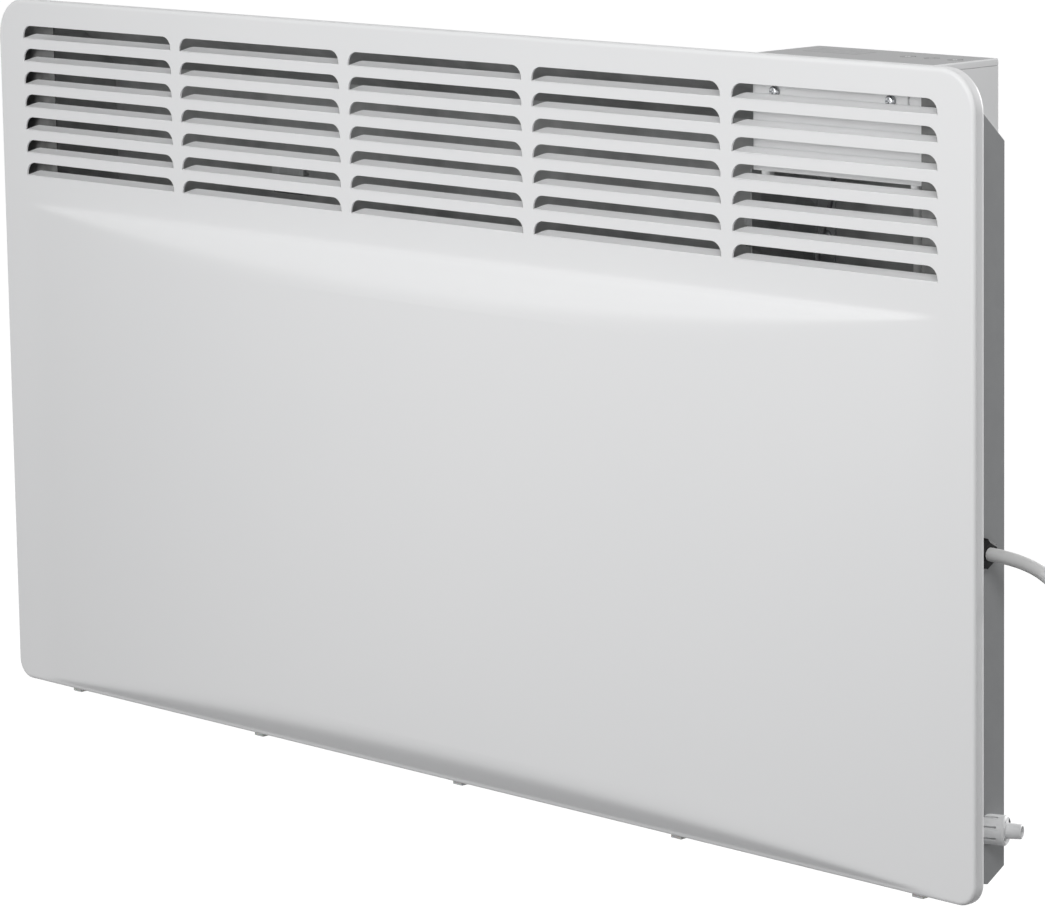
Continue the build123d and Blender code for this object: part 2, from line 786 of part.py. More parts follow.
with BuildPart() as capacitor:
    with BuildSketch(upright(board_front_y)):
        with Locations((box_mid_x + capacitor_offset, power_board_foot_z + capacitor_rise)):
            Circle(capacitor_radius)
    extrude(amount=capacitor_height)
    chamfer(capacitor.faces().sort_by(Axis.Y)[0].edges(), length=capacitor_bevel)

keep(capacitor.part, "capacitor")

terminal_x = box_left_x + terminal_inset
with BuildPart() as terminal_block:
    with BuildSketch(upright(board_front_y)):
        with Locations((terminal_x, power_board_foot_z + terminal_rise)):
            Rectangle(terminal_width, terminal_height, align=(Align.CENTER, Align.MIN))
    extrude(amount=terminal_depth)
    with BuildSketch(upright(board_front_y - terminal_depth)):
        with Locations((terminal_x, power_board_foot_z + terminal_rise + terminal_height / 2)):
            with GridLocations(terminal_width / 3, 1, 3, 1):
                Circle(terminal_hole_radius)
    extrude(amount=-terminal_depth / 2, mode=Mode.SUBTRACT)

keep(terminal_block.part, "terminal_block")

# ---------------------------------------------------------------- partition and heat shield
partition_sheet = 0.8
partition_gap = 2.0
partition_foot_gap = 10.0
partition_seat_inset = 12.0
partition_front_gap = 2.0
partition_flange = 12.0
partition_screw_inset = 7.0
partition_screw_rise = 50.0
partition_screw_drop = 36.0
shield_sheet = 0.6
shield_gap = 4.0
shield_foot = 10.0
shield_side_gap = 38.0
shield_partition_gap = 6.0
shield_foot_gap = 34.0
shield_drop = 94.0
element_height = 78.0
element_gap = 2.1
fin_span = 36.0
fin_height = 58.0
fin_sheet = 1.8
fin_tip_radius = 1.3
rib_radius = 2.6
core_radius = 6.5
element_side_gap = 32.0
element_partition_gap = 12.0
pin_radius = 3.0
pin_length = 30.0
bush_radius = 7.0
partition_x = box_left_x - partition_gap
partition_foot_z = panel_foot_z + partition_foot_gap
partition_top_z = box_foot_z
partition_seat_y = box_front_y + partition_seat_inset
partition_front_y = rim_rear_y + partition_front_gap
partition_rear_y = casing_inner_y
partition_screw_x = partition_x + partition_screw_inset
partition_screw_zs = (partition_foot_z + partition_screw_rise, partition_top_z - partition_screw_drop)
shield_left_x = -casing_inner_x + shield_side_gap
shield_right_x = partition_x - shield_partition_gap
shield_foot_z = panel_foot_z + shield_foot_gap
shield_top_z = partition_top_z - shield_drop
shield_rear_y = casing_inner_y - shield_gap
element_left_x = -casing_inner_x + element_side_gap
element_right_x = partition_x - element_partition_gap
element_y = shield_rear_y - shield_sheet - element_gap - fin_tip_radius - fin_span / 2
element_z = panel_foot_z + element_height

with BuildPart() as partition:
    with BuildSketch(sideways(partition_x)):
        with Locations((partition_front_y, partition_foot_z)):
            Rectangle(
                partition_rear_y - partition_front_y,
                partition_top_z - partition_foot_z,
                align=(Align.MIN, Align.MIN),
            )
        with Locations((element_y, element_z)):
            Circle(bush_radius + bore_gap, mode=Mode.SUBTRACT)
    extrude(amount=partition_sheet)
    with BuildSketch(upright(partition_rear_y)):
        with Locations((partition_x, partition_foot_z)):
            Rectangle(
                partition_flange,
                partition_top_z - partition_foot_z,
                align=(Align.MIN, Align.MIN),
            )
        with Locations(*[(partition_screw_x, z) for z in partition_screw_zs]):
            Circle(screw_shank, mode=Mode.SUBTRACT)
    extrude(amount=partition_sheet)
    # seat folded over at the top, under the control box
    with BuildSketch(Plane.XY.offset(partition_top_z)):
        with Locations((partition_x, partition_seat_y)):
            Rectangle(partition_flange, partition_rear_y - partition_seat_y, align=(Align.MIN, Align.MIN))
    extrude(amount=-partition_sheet)

keep(partition.part, "partition")

with BuildPart() as partition_screws:
    for partition_screw_z in partition_screw_zs:
        add(
            pan_screw(
                partition_screw_x,
                partition_rear_y - partition_sheet,
                partition_screw_z,
                partition_sheet,
            )
        )

keep(partition_screws.part, "partition_screws")

with BuildPart() as heat_shield:
    with BuildSketch(upright(shield_rear_y)):
        with Locations((shield_left_x, shield_foot_z)):
            Rectangle(shield_right_x - shield_left_x, shield_top_z - shield_foot_z, align=(Align.MIN, Align.MIN))
    extrude(amount=shield_sheet)
    # edges bent back to the rear wall, with feet that lie on it
    for edge_x, inward in ((shield_left_x, Align.MIN), (shield_right_x, Align.MAX)):
        with BuildSketch(Plane.XY.offset(shield_foot_z)):
            with Locations((edge_x, shield_rear_y - shield_sheet)):
                Rectangle(shield_sheet, shield_gap + shield_sheet, align=(inward, Align.MIN))
            with Locations((edge_x, casing_inner_y)):
                Rectangle(shield_foot, shield_sheet, align=(inward, Align.MAX))
        extrude(amount=shield_top_z - shield_foot_z)

keep(heat_shield.part, "heat_shield")

# ---------------------------------------------------------------- heating element
fin_angle = math.degrees(math.atan2(fin_height, fin_span))
fin_reach = math.hypot(fin_span, fin_height)

with BuildPart() as heating_element:
    with BuildSketch(sideways(element_left_x)):
        with Locations((element_y, element_z)):
            Circle(core_radius)
            Rectangle(fin_reach, fin_sheet, rotation=fin_angle)
            Rectangle(fin_reach, fin_sheet, rotation=-fin_angle)
            # rounded fin tips, and a thicker rib half way along each fin
            with GridLocations(fin_span, fin_height, 2, 2):
                Circle(fin_tip_radius)
            with GridLocations(fin_span / 2, fin_height / 2, 2, 2):
                Circle(rib_radius)
    extrude(amount=element_right_x - element_left_x)

keep(heating_element.part, "heating_element")

with BuildPart() as element_pins:
    for end_x, way in ((element_left_x, -1), (element_right_x, 1)):
        with BuildSketch(sideways(end_x)):
            with Locations((element_y, element_z)):
                Circle(pin_radius)
        extrude(amount=way * pin_length)

keep(element_pins.part, "element_pins")

bush_length = 10.0
bush_rim = 2.0
bush_groove_cut = 3.0
holder_sheet = 1.2
holder_gap = 14.0
holder_width = 26.0
holder_half_height = 14.0
holder_foot = 10.0
holder_x = element_left_x - holder_gap

with BuildPart() as element_bushes:
    for bush_x in (holder_x + holder_sheet / 2, partition_x + partition_sheet / 2):
        with BuildSketch(sideways(bush_x - bush_length / 2)):
            with Locations((element_y, element_z)):
                Circle(bush_radius + bush_rim)
                Circle(pin_radius, mode=Mode.SUBTRACT)
        extrude(amount=bush_length)
        with BuildSketch(sideways(bush_x - holder_sheet / 2)):
            with Locations((element_y, element_z)):
                Circle(bush_radius + bush_groove_cut)
                Circle(bush_radius, mode=Mode.SUBTRACT)
        extrude(amount=holder_sheet, mode=Mode.SUBTRACT)

keep(element_bushes.part, "element_bushes")

with BuildPart() as element_holder:
    with BuildSketch(sideways(holder_x)):
        with Locations((casing_inner_y, element_z)):
            Rectangle(
                casing_inner_y - element_y + holder_width / 2,
                2 * holder_half_height,
                align=(Align.MAX, Align.CENTER),
            )
        with Locations((element_y, element_z)):
            Circle(bush_radius + bore_gap, mode=Mode.SUBTRACT)
    extrude(amount=holder_sheet)
    with BuildSketch(upright(casing_inner_y)):
        with Locations((holder_x, element_z)):
            Rectangle(holder_foot, 2 * holder_half_height, align=(Align.MAX, Align.CENTER))
    extrude(amount=holder_sheet)

keep(element_holder.part, "element_holder")

cutout_radius = 8.0
cutout_height = 9.0
cutout_bevel = 1.0
cutout_rise = 62.0
cutout_ear_spacing = 24.0
cutout_ear_width = 7.0
cutout_ear_sheet = 0.8
cutout_z = element_z + cutout_rise

with BuildPart() as thermal_cutout:
    with BuildSketch(sideways(partition_x)):
        with Locations((element_y, cutout_z)):
            Circle(cutout_radius)
    extrude(amount=-cutout_height)
    chamfer(thermal_cutout.faces().sort_by(Axis.X)[0].edges(), length=cutout_bevel)
    with BuildSketch(sideways(partition_x)):
        with Locations((element_y, cutout_z)):
            SlotCenterToCenter(cutout_ear_spacing, cutout_ear_width)
    extrude(amount=-cutout_ear_sheet)

keep(thermal_cutout.part, "thermal_cutout")

# ---------------------------------------------------------------- grommet, inner lead and its clamp
lead_grip_gap = 0.05
lead_bore_radius = lead_diameter / 2 + lead_grip_gap
grommet_outer_x = casing_side_x + grommet_out

with BuildPart() as cable_grommet:
    with BuildSketch(sideways(casing_side_x)):
        with Locations((lead_y, lead_z)):
            RegularPolygon(grommet_across / 2, 6, major_radius=False, rotation=30)
    extrude(amount=grommet_out)
    chamfer(cable_grommet.faces().sort_by(Axis.X)[-1].edges(), length=grommet_chamfer)
    with BuildSketch(sideways(casing_side_x)):
        with Locations((lead_y, lead_z)):
            Circle(grommet_body_radius)
    extrude(amount=-casing_sheet)
    with BuildSketch(sideways(casing_inner_x)):
        with Locations((lead_y, lead_z)):
            RegularPolygon(grommet_across / 2, 6, major_radius=False, rotation=30)
    extrude(amount=-grommet_inner)
    with BuildSketch(sideways(grommet_outer_x)):
        with Locations((lead_y, lead_z)):
            Circle(lead_bore_radius)
    extrude(amount=-(grommet_out + casing_sheet + grommet_inner), mode=Mode.SUBTRACT)

keep(cable_grommet.part, "cable_grommet")

lead_end_rise = 4.0
inner_lead_end_z = box_foot_z + box_wall + lead_end_rise

with BuildPart() as inner_lead:
    with BuildLine():
        FilletPolyline(
            (grommet_outer_x, lead_y, lead_z),
            (lead_bay_x, lead_y, lead_z),
            (lead_bay_x, lead_y, inner_lead_end_z),
            radius=lead_bend,
        )
    with BuildSketch(sideways(grommet_outer_x)):
        with Locations((lead_y, lead_z)):
            Circle(lead_diameter / 2)
    sweep()

keep(inner_lead.part, "inner_lead")

clamp_drop = 72.0
clamp_wall = 1.2
clamp_height = 9.0
clamp_foot = 26.0
clamp_outer_radius = lead_bore_radius + clamp_wall

with BuildPart() as lead_clamp:
    with BuildSketch(Plane.XY.offset(box_foot_z - clamp_drop)):
        with Locations((lead_bay_x, lead_y)):
            Circle(clamp_outer_radius)
            Rectangle(2 * clamp_outer_radius, casing_inner_y - lead_y, align=(Align.CENTER, Align.MIN))
        with Locations((lead_bay_x, casing_inner_y)):
            Rectangle(clamp_foot, clamp_wall, align=(Align.CENTER, Align.MAX))
        with Locations((lead_bay_x, lead_y)):
            Circle(lead_bore_radius, mode=Mode.SUBTRACT)
    extrude(amount=clamp_height)

keep(lead_clamp.part, "lead_clamp")

# ---------------------------------------------------------------- wires inside the bay
wire_radius = 1.2
wire_bend = 5.0
wire_tail = 6.0
wire_shift_drop = 40.0
wire_neck_drop = 12.0
wire_end_rise = 1.0
pin_end_x = element_right_x + pin_length
live_x = pin_end_x + wire_tail

with BuildPart() as element_wire:
    with BuildLine():
        FilletPolyline(
            (pin_end_x, element_y, element_z),
            (live_x, element_y, element_z),
            (live_x, element_y, box_foot_z - wire_shift_drop),
            (wire_hole_x, lead_y, box_foot_z - wire_neck_drop),
            (wire_hole_x, lead_y, box_foot_z + box_wall + wire_end_rise),
            radius=wire_bend,
        )
    with BuildSketch(sideways(pin_end_x)):
        with Locations((element_y, element_z)):
            Circle(wire_radius)
    sweep()

keep(element_wire.part, "element_wire")

# ---------------------------------------------------------------- room sensor
slit_count = 8
slit_length = 6.0
slit_depth = 1.5
slit_opening = 1.1
vent_count = 4
vent_across = 1.4
vent_around = 3.0
vent_depth = 1.6
vent_edge = 0.4
sensor_nut = 3.0
sensor_nut_rim = 1.5
bore_lap = 2.0
spigot_radius = stem_bore + stem_wall
tilt_cos = math.cos(math.radians(sensor_tilt))
tilt_sin = math.sin(math.radians(sensor_tilt))
collar_back = collar_diameter / 2 * tilt_sin / tilt_cos


def along_sensor(reach):
    """A plane across the sensor's leaning axis, at a reach from the casing's side."""
    return Plane(
        origin=(casing_side_x + reach * tilt_cos, sensor_y + reach * tilt_sin, sensor_z),
        x_dir=(-tilt_sin, tilt_cos, 0),
        z_dir=(tilt_cos, tilt_sin, 0),
    )


with BuildPart() as sensor_collar:
    with BuildSketch(along_sensor(-collar_back)):
        Circle(collar_diameter / 2)
    extrude(amount=collar_back + collar_length)
    chamfer(sensor_collar.faces().sort_by(Axis.X)[-1].edges(), length=collar_bevel)
    # air slits from the base and vents in the outer face
    with BuildSketch(along_sensor(-collar_back)):
        with PolarLocations(collar_diameter / 2, slit_count, start_angle=180 / slit_count):
            Rectangle(2 * slit_depth, slit_opening)
    extrude(amount=collar_back + slit_length, mode=Mode.SUBTRACT)
    with BuildSketch(along_sensor(collar_length)):
        with PolarLocations(
            collar_diameter / 2 - collar_bevel - vent_edge - vent_across / 2,
            vent_count,
            start_angle=180 / vent_count,
        ):
            Rectangle(vent_across, vent_around)
    extrude(amount=-vent_depth, mode=Mode.SUBTRACT)
    # its foot is cut flush with the casing's side
    with BuildSketch(sideways(casing_side_x)):
        with Locations((sensor_y, sensor_z)):
            Rectangle(3 * collar_diameter, 2 * collar_diameter)
    extrude(amount=-3 * collar_back, mode=Mode.SUBTRACT)
    with BuildSketch(sideways(casing_side_x)):
        with Locations((sensor_y, sensor_z)):
            Circle(sensor_body_radius)
    extrude(amount=-casing_sheet)
    with BuildSketch(sideways(casing_inner_x)):
        with Locations((sensor_y, sensor_z)):
            Circle(sensor_body_radius + sensor_nut_rim)
    extrude(amount=-sensor_nut)
    with BuildSketch(along_sensor(collar_length)):
        Circle(spigot_radius + lead_grip_gap)
    extrude(amount=-collar_length, mode=Mode.SUBTRACT)
    with BuildSketch(sideways(casing_side_x + bore_lap)):
        with Locations((sensor_y, sensor_z)):
            Circle(spigot_radius + lead_grip_gap)
    extrude(amount=-(bore_lap + casing_sheet + sensor_nut), mode=Mode.SUBTRACT)

keep(sensor_collar.part, "sensor_collar")

stem_end = collar_length + sensor_stem_length
bead_radius = 2.2
bead_length = 4.0
bead_inset = 1.2
bead_bevel = 0.5
bead_lead_radius = 0.9
bead_lead_inset = 14.0
bead_lead_shift = 6.0
bead_lead_rise = 24.0
bead_lead_bend = 8.0
bead_lead_end_gap = 1.0
bead_lead_start = along_sensor(stem_end - bead_inset - bead_length)
bead_lead_x = casing_inner_x - bead_lead_inset

with BuildPart() as sensor_stem:
    with BuildSketch(along_sensor(collar_length)):
        Circle(stem_diameter / 2)
    with BuildSketch(along_sensor(stem_end)):
        Circle(stem_tip_diameter / 2)
    loft()
    with BuildSketch(along_sensor(collar_length)):
        Circle(spigot_radius)
    extrude(amount=-stem_spigot)
    chamfer(sensor_stem.faces().sort_by(Axis.X)[-1].edges(), length=stem_bevel)
    with BuildSketch(along_sensor(stem_end)):
        Circle(stem_bore)
    extrude(amount=-sensor_stem_length - stem_spigot, mode=Mode.SUBTRACT)

keep(sensor_stem.part, "sensor_stem")

with BuildPart() as sensor_bead:
    with BuildSketch(bead_lead_start):
        Circle(bead_radius)
    extrude(amount=bead_length)
    chamfer(sensor_bead.faces().sort_by(Axis.X)[-1].edges(), length=bead_bevel)
    with BuildLine() as bead_route:
        FilletPolyline(
            tuple(bead_lead_start.origin),
            (casing_side_x, sensor_y, sensor_z),
            (bead_lead_x, sensor_y, sensor_z),
            (bead_lead_x, sensor_y + bead_lead_shift, sensor_z + bead_lead_rise),
            (bead_lead_x, sensor_y + bead_lead_shift, box_foot_z - bead_lead_end_gap),
            radius=bead_lead_bend,
        )
    with BuildSketch(bead_lead_start):
        Circle(bead_lead_radius)
    sweep(path=bead_route.wires()[0])

keep(sensor_bead.part, "sensor_bead")

# ---------------------------------------------------------------- flange rivets
rivet_count = 3
rivet_radius = 2.4
rivet_head = 0.9
rivet_end_gap = 34.0
rivet_span = louvre_zone_foot_z - side_front_z - 2 * rivet_end_gap

with BuildPart() as flange_rivets:
    with BuildSketch(upright(casing_front_y + casing_sheet)):
        with Locations((0, (louvre_zone_foot_z + side_front_z) / 2)):
            with GridLocations(
                2 * casing_side_x + side_flange - casing_sheet,
                rivet_span / (rivet_count - 1),
                2,
                rivet_count,
            ):
                Circle(rivet_radius)
    extrude(amount=-rivet_head)

keep(flange_rivets.part, "flange_rivets")

# ---------------------------------------------------------------- wall bracket
leg_top_z = hook_slit_z + leg_above_hook
leg_foot_z = panel_foot_z + leg_foot
flange_depth = wall_gap - fit_gap
hook_reach = wall_gap + casing_sheet + hook_gap
press_width = 12.0
press_rise = 2.0

with BuildPart() as wall_bracket:
    with BuildSketch(upright(0)):
        for leg_x in (-bracket_leg_x, bracket_leg_x):
            with Locations((leg_x, leg_foot_z)):
                Rectangle(leg_width, leg_top_z - leg_foot_z, align=(Align.CENTER, Align.MIN))
        with Locations((0, leg_top_z)):
            Rectangle(bracket_span + leg_width, crossbar_height, align=(Align.CENTER, Align.MAX))
        with GridLocations(bracket_span, bracket_hole_rise, 2, 2):
            Circle(bracket_hole_radius, mode=Mode.SUBTRACT)
    extrude(amount=bracket_sheet)
    # side flanges make each leg a channel that stands off the wall
    for leg_x in (-bracket_leg_x, bracket_leg_x):
        for side in (-1, 1):
            with BuildSketch(upright(0)):
                with Locations((leg_x + side * leg_width / 2, leg_foot_z)):
                    Rectangle(
                        bracket_sheet,
                        leg_top_z - leg_foot_z,
                        align=(Align.MAX if side > 0 else Align.MIN, Align.MIN),
                    )
            extrude(amount=flange_depth)
        # hook: a tongue through the casing's slit with a lip turned up inside it
        with BuildSketch(sideways(leg_x - hook_width / 2)):
            with Locations((0, hook_slit_z)):
                Rectangle(hook_reach, bracket_sheet, align=(Align.MAX, Align.MAX))
            with Locations((-hook_reach, hook_slit_z - bracket_sheet)):
                Rectangle(bracket_sheet, hook_lip + bracket_sheet, align=(Align.MIN, Align.MIN))
        extrude(amount=hook_width)
    # pressed bead along the crossbar
    with BuildSketch(upright(-bracket_sheet, z=leg_top_z - crossbar_height / 2)):
        SlotOverall(bracket_span - 3 * leg_width, press_width)
    extrude(amount=press_rise)
    with BuildSketch(upright(0, z=leg_top_z - crossbar_height / 2)):
        SlotOverall(bracket_span - 3 * leg_width - 2 * bracket_sheet, press_width - 2 * bracket_sheet)
    extrude(amount=press_rise, mode=Mode.SUBTRACT)

keep(wall_bracket.part, "wall_bracket")

pad_inset = 36.0
pad_height = 40.0
pad_radius = 9.0
pad_bevel = 1.2

with BuildPart() as wall_pads:
    with BuildSketch(upright(0, z=panel_foot_z + pad_height)):
        with GridLocations(2 * (casing_side_x - pad_inset), 1, 2, 1):
            Circle(pad_radius)
    extrude(amount=wall_gap)
    chamfer(wall_pads.faces().sort_by(Axis.Y)[-1].edges(), length=pad_bevel)

keep(wall_pads.part, "wall_pads")

# ---------------------------------------------------------------- latches
latch_arm_y = casing_rear_y + latch_rear_gap
latch_foot_z = panel_foot_z - latch_tab_drop
latch_top_z = latch_nose_z + latch_arm_rise
catch_y = casing_inner_y - latch_catch_gap
for leg_x, latch_name in ((-bracket_leg_x, "left_latch"), (bracket_leg_x, "right_latch")):
    with BuildPart() as latch:
        with BuildSketch(sideways(leg_x - latch_width / 2)):
            with BuildLine():
                Polyline(
                    (latch_arm_y, latch_top_z),
                    (latch_arm_y, latch_nose_z),
                    (catch_y, latch_nose_z),
                    (catch_y, latch_nose_z + latch_catch - latch_catch_slope),
                    (catch_y - latch_catch_slope, latch_nose_z + latch_catch),
                    (catch_y - latch_sheet, latch_nose_z),
                    (catch_y - latch_sheet, latch_nose_z - latch_sheet),
                    (latch_arm_y, latch_nose_z - latch_sheet),
                    (latch_arm_y, latch_foot_z + latch_tab_height),
                    (latch_arm_y - latch_tab_depth, latch_foot_z + latch_tab_height / 2),
                    (latch_arm_y - latch_tab_depth, latch_foot_z),
                    (latch_arm_y + latch_sheet, latch_foot_z),
                    (latch_arm_y + latch_sheet, latch_top_z),
                    close=True,
                )
            make_face()
        extrude(amount=latch_width)
        # runners that slide in the leg's channel
        with BuildSketch(Plane.XY.offset(latch_nose_z - latch_runner_drop)):
            with Locations((leg_x, latch_arm_y + latch_sheet)):
                Rectangle(
                    leg_width - 2 * (bracket_sheet + fit_gap),
                    latch_sheet,
                    align=(Align.CENTER, Align.MAX),
                )
        extrude(amount=latch_runner_length)
    keep(latch.part, latch_name)

# ---------------------------------------------------------------- free lead
# The route lies in one plane beside the heater: across, then down to its coil.
route_down = [
    (0.0, 0.0),
    (20.0, 0.0),
    (42.0, -9.0),
    (57.0, -27.0),
    (65.0, -47.0),
    (65.0, -63.0),
]


def tangent_radii(points):
    """Each corner's radius: 0.45 of its shorter run over the tangent of half its turn."""
    radii = []
    for before, here, after in zip(points, points[1:], points[2:]):
        run_in = Vector(*here) - Vector(*before)
        run_out = Vector(*after) - Vector(*here)
        half_turn = math.radians(run_in.get_angle(run_out)) / 2
        radii.append(0.45 * min(run_in.length, run_out.length) / math.tan(half_turn))
    return radii


def lead_tube(points, label):
    """A plain tube along a route of points, in tangent arcs."""
    radii = tangent_radii(points)
    print(label, "radii", [round(radius, 1) for radius in radii])
    with BuildPart() as tube:
        with BuildLine() as line:
            FilletPolyline(*points, radius=radii)
        route = line.wires()[0]
        with BuildSketch(Plane(origin=points[0], z_dir=Vector(*points[1]) - Vector(*points[0]))):
            Circle(lead_diameter / 2)
        sweep(path=route)
    section = math.pi * lead_diameter ** 2 / 4
    print(label, "length", round(route.length, 1), "volume", round(tube.part.volume / (section * route.length), 4))
    return tube.part, route.length


down_points = [(grommet_outer_x + x, lead_y, lead_z + z) for x, z in route_down]
down_tube, down_length = lead_tube(down_points, "mains_lead")
keep(down_tube, "mains_lead")

# The unseen length is a neat coil of two layers: it spirals in on the first, climbs while it
# turns round, and spirals out on the second. Every half turn is one arc.
coil_outer = 46.0
coil_gap = 0.6
coil_half_turns_in = 6
coil_half_turns_out = 5
coil_pitch = lead_diameter + coil_gap
coil_start = Vector(*down_points[-1])
coil_z = coil_start.Z - lead_diameter

half_radii = [coil_outer - i * coil_pitch / 2 for i in range(coil_half_turns_in + 1)]
half_radii += [half_radii[-1] + (i + 1) * coil_pitch / 2 for i in range(coil_half_turns_out)]
climb_turn = coil_half_turns_in
climb_lean = math.asin(coil_pitch / (2 * half_radii[climb_turn]))

coil_arcs = []
turn_x = coil_start.X
turn_y = lead_y
for turn, radius in enumerate(half_radii):
    way = 1 if turn % 2 == 0 else -1
    lean = climb_lean if turn == climb_turn else 0.0
    across = 2 * radius * math.cos(lean) * way
    climb = 2 * radius * math.sin(lean)
    start = (turn_x, turn_y, coil_z)
    middle = (turn_x + across / 2, turn_y + climb / 2, coil_z - way * radius)
    end = (turn_x + across, turn_y + climb, coil_z)
    coil_arcs.append((start, middle, end))
    turn_x += across
    turn_y += climb
coil_end = (turn_x, turn_y, coil_z - lead_diameter)

with BuildPart() as lead_coil:
    with BuildLine() as coil_line:
        Line(tuple(coil_start), coil_arcs[0][0])
        for start, middle, end in coil_arcs:
            ThreePointArc(start, middle, end)
        Line(coil_arcs[-1][2], coil_end)
    coil_route = coil_line.wires()[0]
    with BuildSketch(Plane(origin=coil_start, z_dir=(0, 0, -1))):
        Circle(lead_diameter / 2)
    sweep(path=coil_route)

coil_length = coil_route.length
sample_step = 2.0
samples = [coil_route.position_at(i * sample_step / coil_length) for i in range(int(coil_length / sample_step))]
apart = int(1.5 * math.pi * lead_diameter / sample_step)
least = min(
    (samples[i] - samples[j]).length
    for i in range(0, len(samples))
    for j in range(i + apart, len(samples))
)
print("lead_coil length", round(coil_length, 1), "least gap to itself", round(least - lead_diameter, 2))
keep(lead_coil.part, "lead_coil")

# The tail hangs from the coil to the plug.
route_tail = [(0.0, 0.0), (0.0, -16.0), (1.5, -34.0), (2.2, -50.0), (2.2, -64.0)]
tail_points = [(coil_end[0] + x, coil_end[1], coil_end[2] + z) for x, z in route_tail]
tail_tube, tail_length = lead_tube(tail_points, "plug_tail")
keep(tail_tube, "plug_tail")
print("free lead length", round(down_length + coil_length + tail_length, 1))

# tie round the coil's right-hand side
tie_wall = 1.0
tie_height = 4.0
tie_corner = 2.5
bundle_in_x = coil_arcs[climb_turn][2][0] - lead_diameter / 2 - 2 * fit_gap
bundle_out_x = coil_start.X + 2 * coil_outer + lead_diameter / 2 + fit_gap
bundle_front_y = lead_y - lead_diameter / 2 - fit_gap
bundle_rear_y = lead_y + coil_pitch + lead_diameter / 2 + fit_gap

with BuildPart() as coil_tie:
    with BuildSketch(Plane.XY.offset(coil_z - tie_height / 2)):
        with Locations(((bundle_in_x + bundle_out_x) / 2, (bundle_front_y + bundle_rear_y) / 2)):
            RectangleRounded(
                bundle_out_x - bundle_in_x + 2 * tie_wall,
                bundle_rear_y - bundle_front_y + 2 * tie_wall,
                tie_corner,
            )
            RectangleRounded(
                bundle_out_x - bundle_in_x,
                bundle_rear_y - bundle_front_y,
                tie_corner - tie_wall,
                mode=Mode.SUBTRACT,
            )
    extrude(amount=tie_height)

keep(coil_tie.part, "coil_tie")

# ---------------------------------------------------------------- plug
plug_x, plug_y, plug_top_z = tail_points[-1]
neck_length = 24.0
shell_length = 34.0
shell_radius = 18.5
neck_top_radius = 4.6
neck_foot_radius = 6.8
shoulder_radius = 14.5
shoulder_rise = 10.0
grip_rise = 10.0
shell_round = 1.0
grip_flat = 15.0
groove_depth = 2.0
groove_width = 5.5
groove_length = 16.0
plug_pin_radius = 2.4
plug_pin_length = 19.0
plug_pin_spacing = 19.0
plug_pin_round = 1.6
shell_top_z = plug_top_z - neck_length
shell_foot_z = shell_top_z - shell_length

with BuildPart() as plug_body:
    with BuildSketch(Plane(origin=(plug_x, plug_y, 0), x_dir=(1, 0, 0), z_dir=(0, -1, 0))):
        with BuildLine():
            Line((0, plug_top_z), (neck_top_radius, plug_top_z))
            Line((neck_top_radius, plug_top_z), (neck_foot_radius, shell_top_z))
            Spline(
                (neck_foot_radius, shell_top_z),
                (shoulder_radius, shell_top_z - shoulder_rise),
                (shell_radius, shell_foot_z + grip_rise),
                tangents=((0.7, -1), (0, -1)),
            )
            Line((shell_radius, shell_foot_z + grip_rise), (shell_radius, shell_foot_z))
            Line((shell_radius, shell_foot_z), (0, shell_foot_z))
            Line((0, shell_foot_z), (0, plug_top_z))
        make_face()
    revolve(axis=Axis((plug_x, plug_y, 0), (0, 0, 1)))
    fillet(plug_body.faces().sort_by(Axis.Z)[0].edges(), radius=shell_round)
    # flats pressed by finger and thumb, and guide grooves at the sides
    for side in (-1, 1):
        with BuildSketch(Plane.XY.offset(shell_foot_z)):
            with Locations((plug_x, plug_y + side * grip_flat)):
                Rectangle(3 * shell_radius, shell_radius, align=(Align.CENTER, Align.MIN if side > 0 else Align.MAX))
        extrude(amount=shell_length, mode=Mode.SUBTRACT)
        with BuildSketch(Plane.XY.offset(shell_foot_z)):
            with Locations((plug_x + side * shell_radius, plug_y)):
                Rectangle(2 * groove_depth, groove_width)
        extrude(amount=groove_length, mode=Mode.SUBTRACT)

keep(plug_body.part, "plug_body")

with BuildPart() as plug_pins:
    with BuildSketch(Plane.XY.offset(shell_foot_z)):
        with Locations((plug_x, plug_y)):
            with GridLocations(plug_pin_spacing, 1, 2, 1):
                Circle(plug_pin_radius)
    extrude(amount=-plug_pin_length)
    fillet(plug_pins.faces().group_by(Axis.Z)[0].edges(), radius=plug_pin_round)

keep(plug_pins.part, "plug_pins")

print("pieces", len(finished))
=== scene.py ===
import json
import math

import bmesh
import bpy
from mathutils import Matrix, Vector


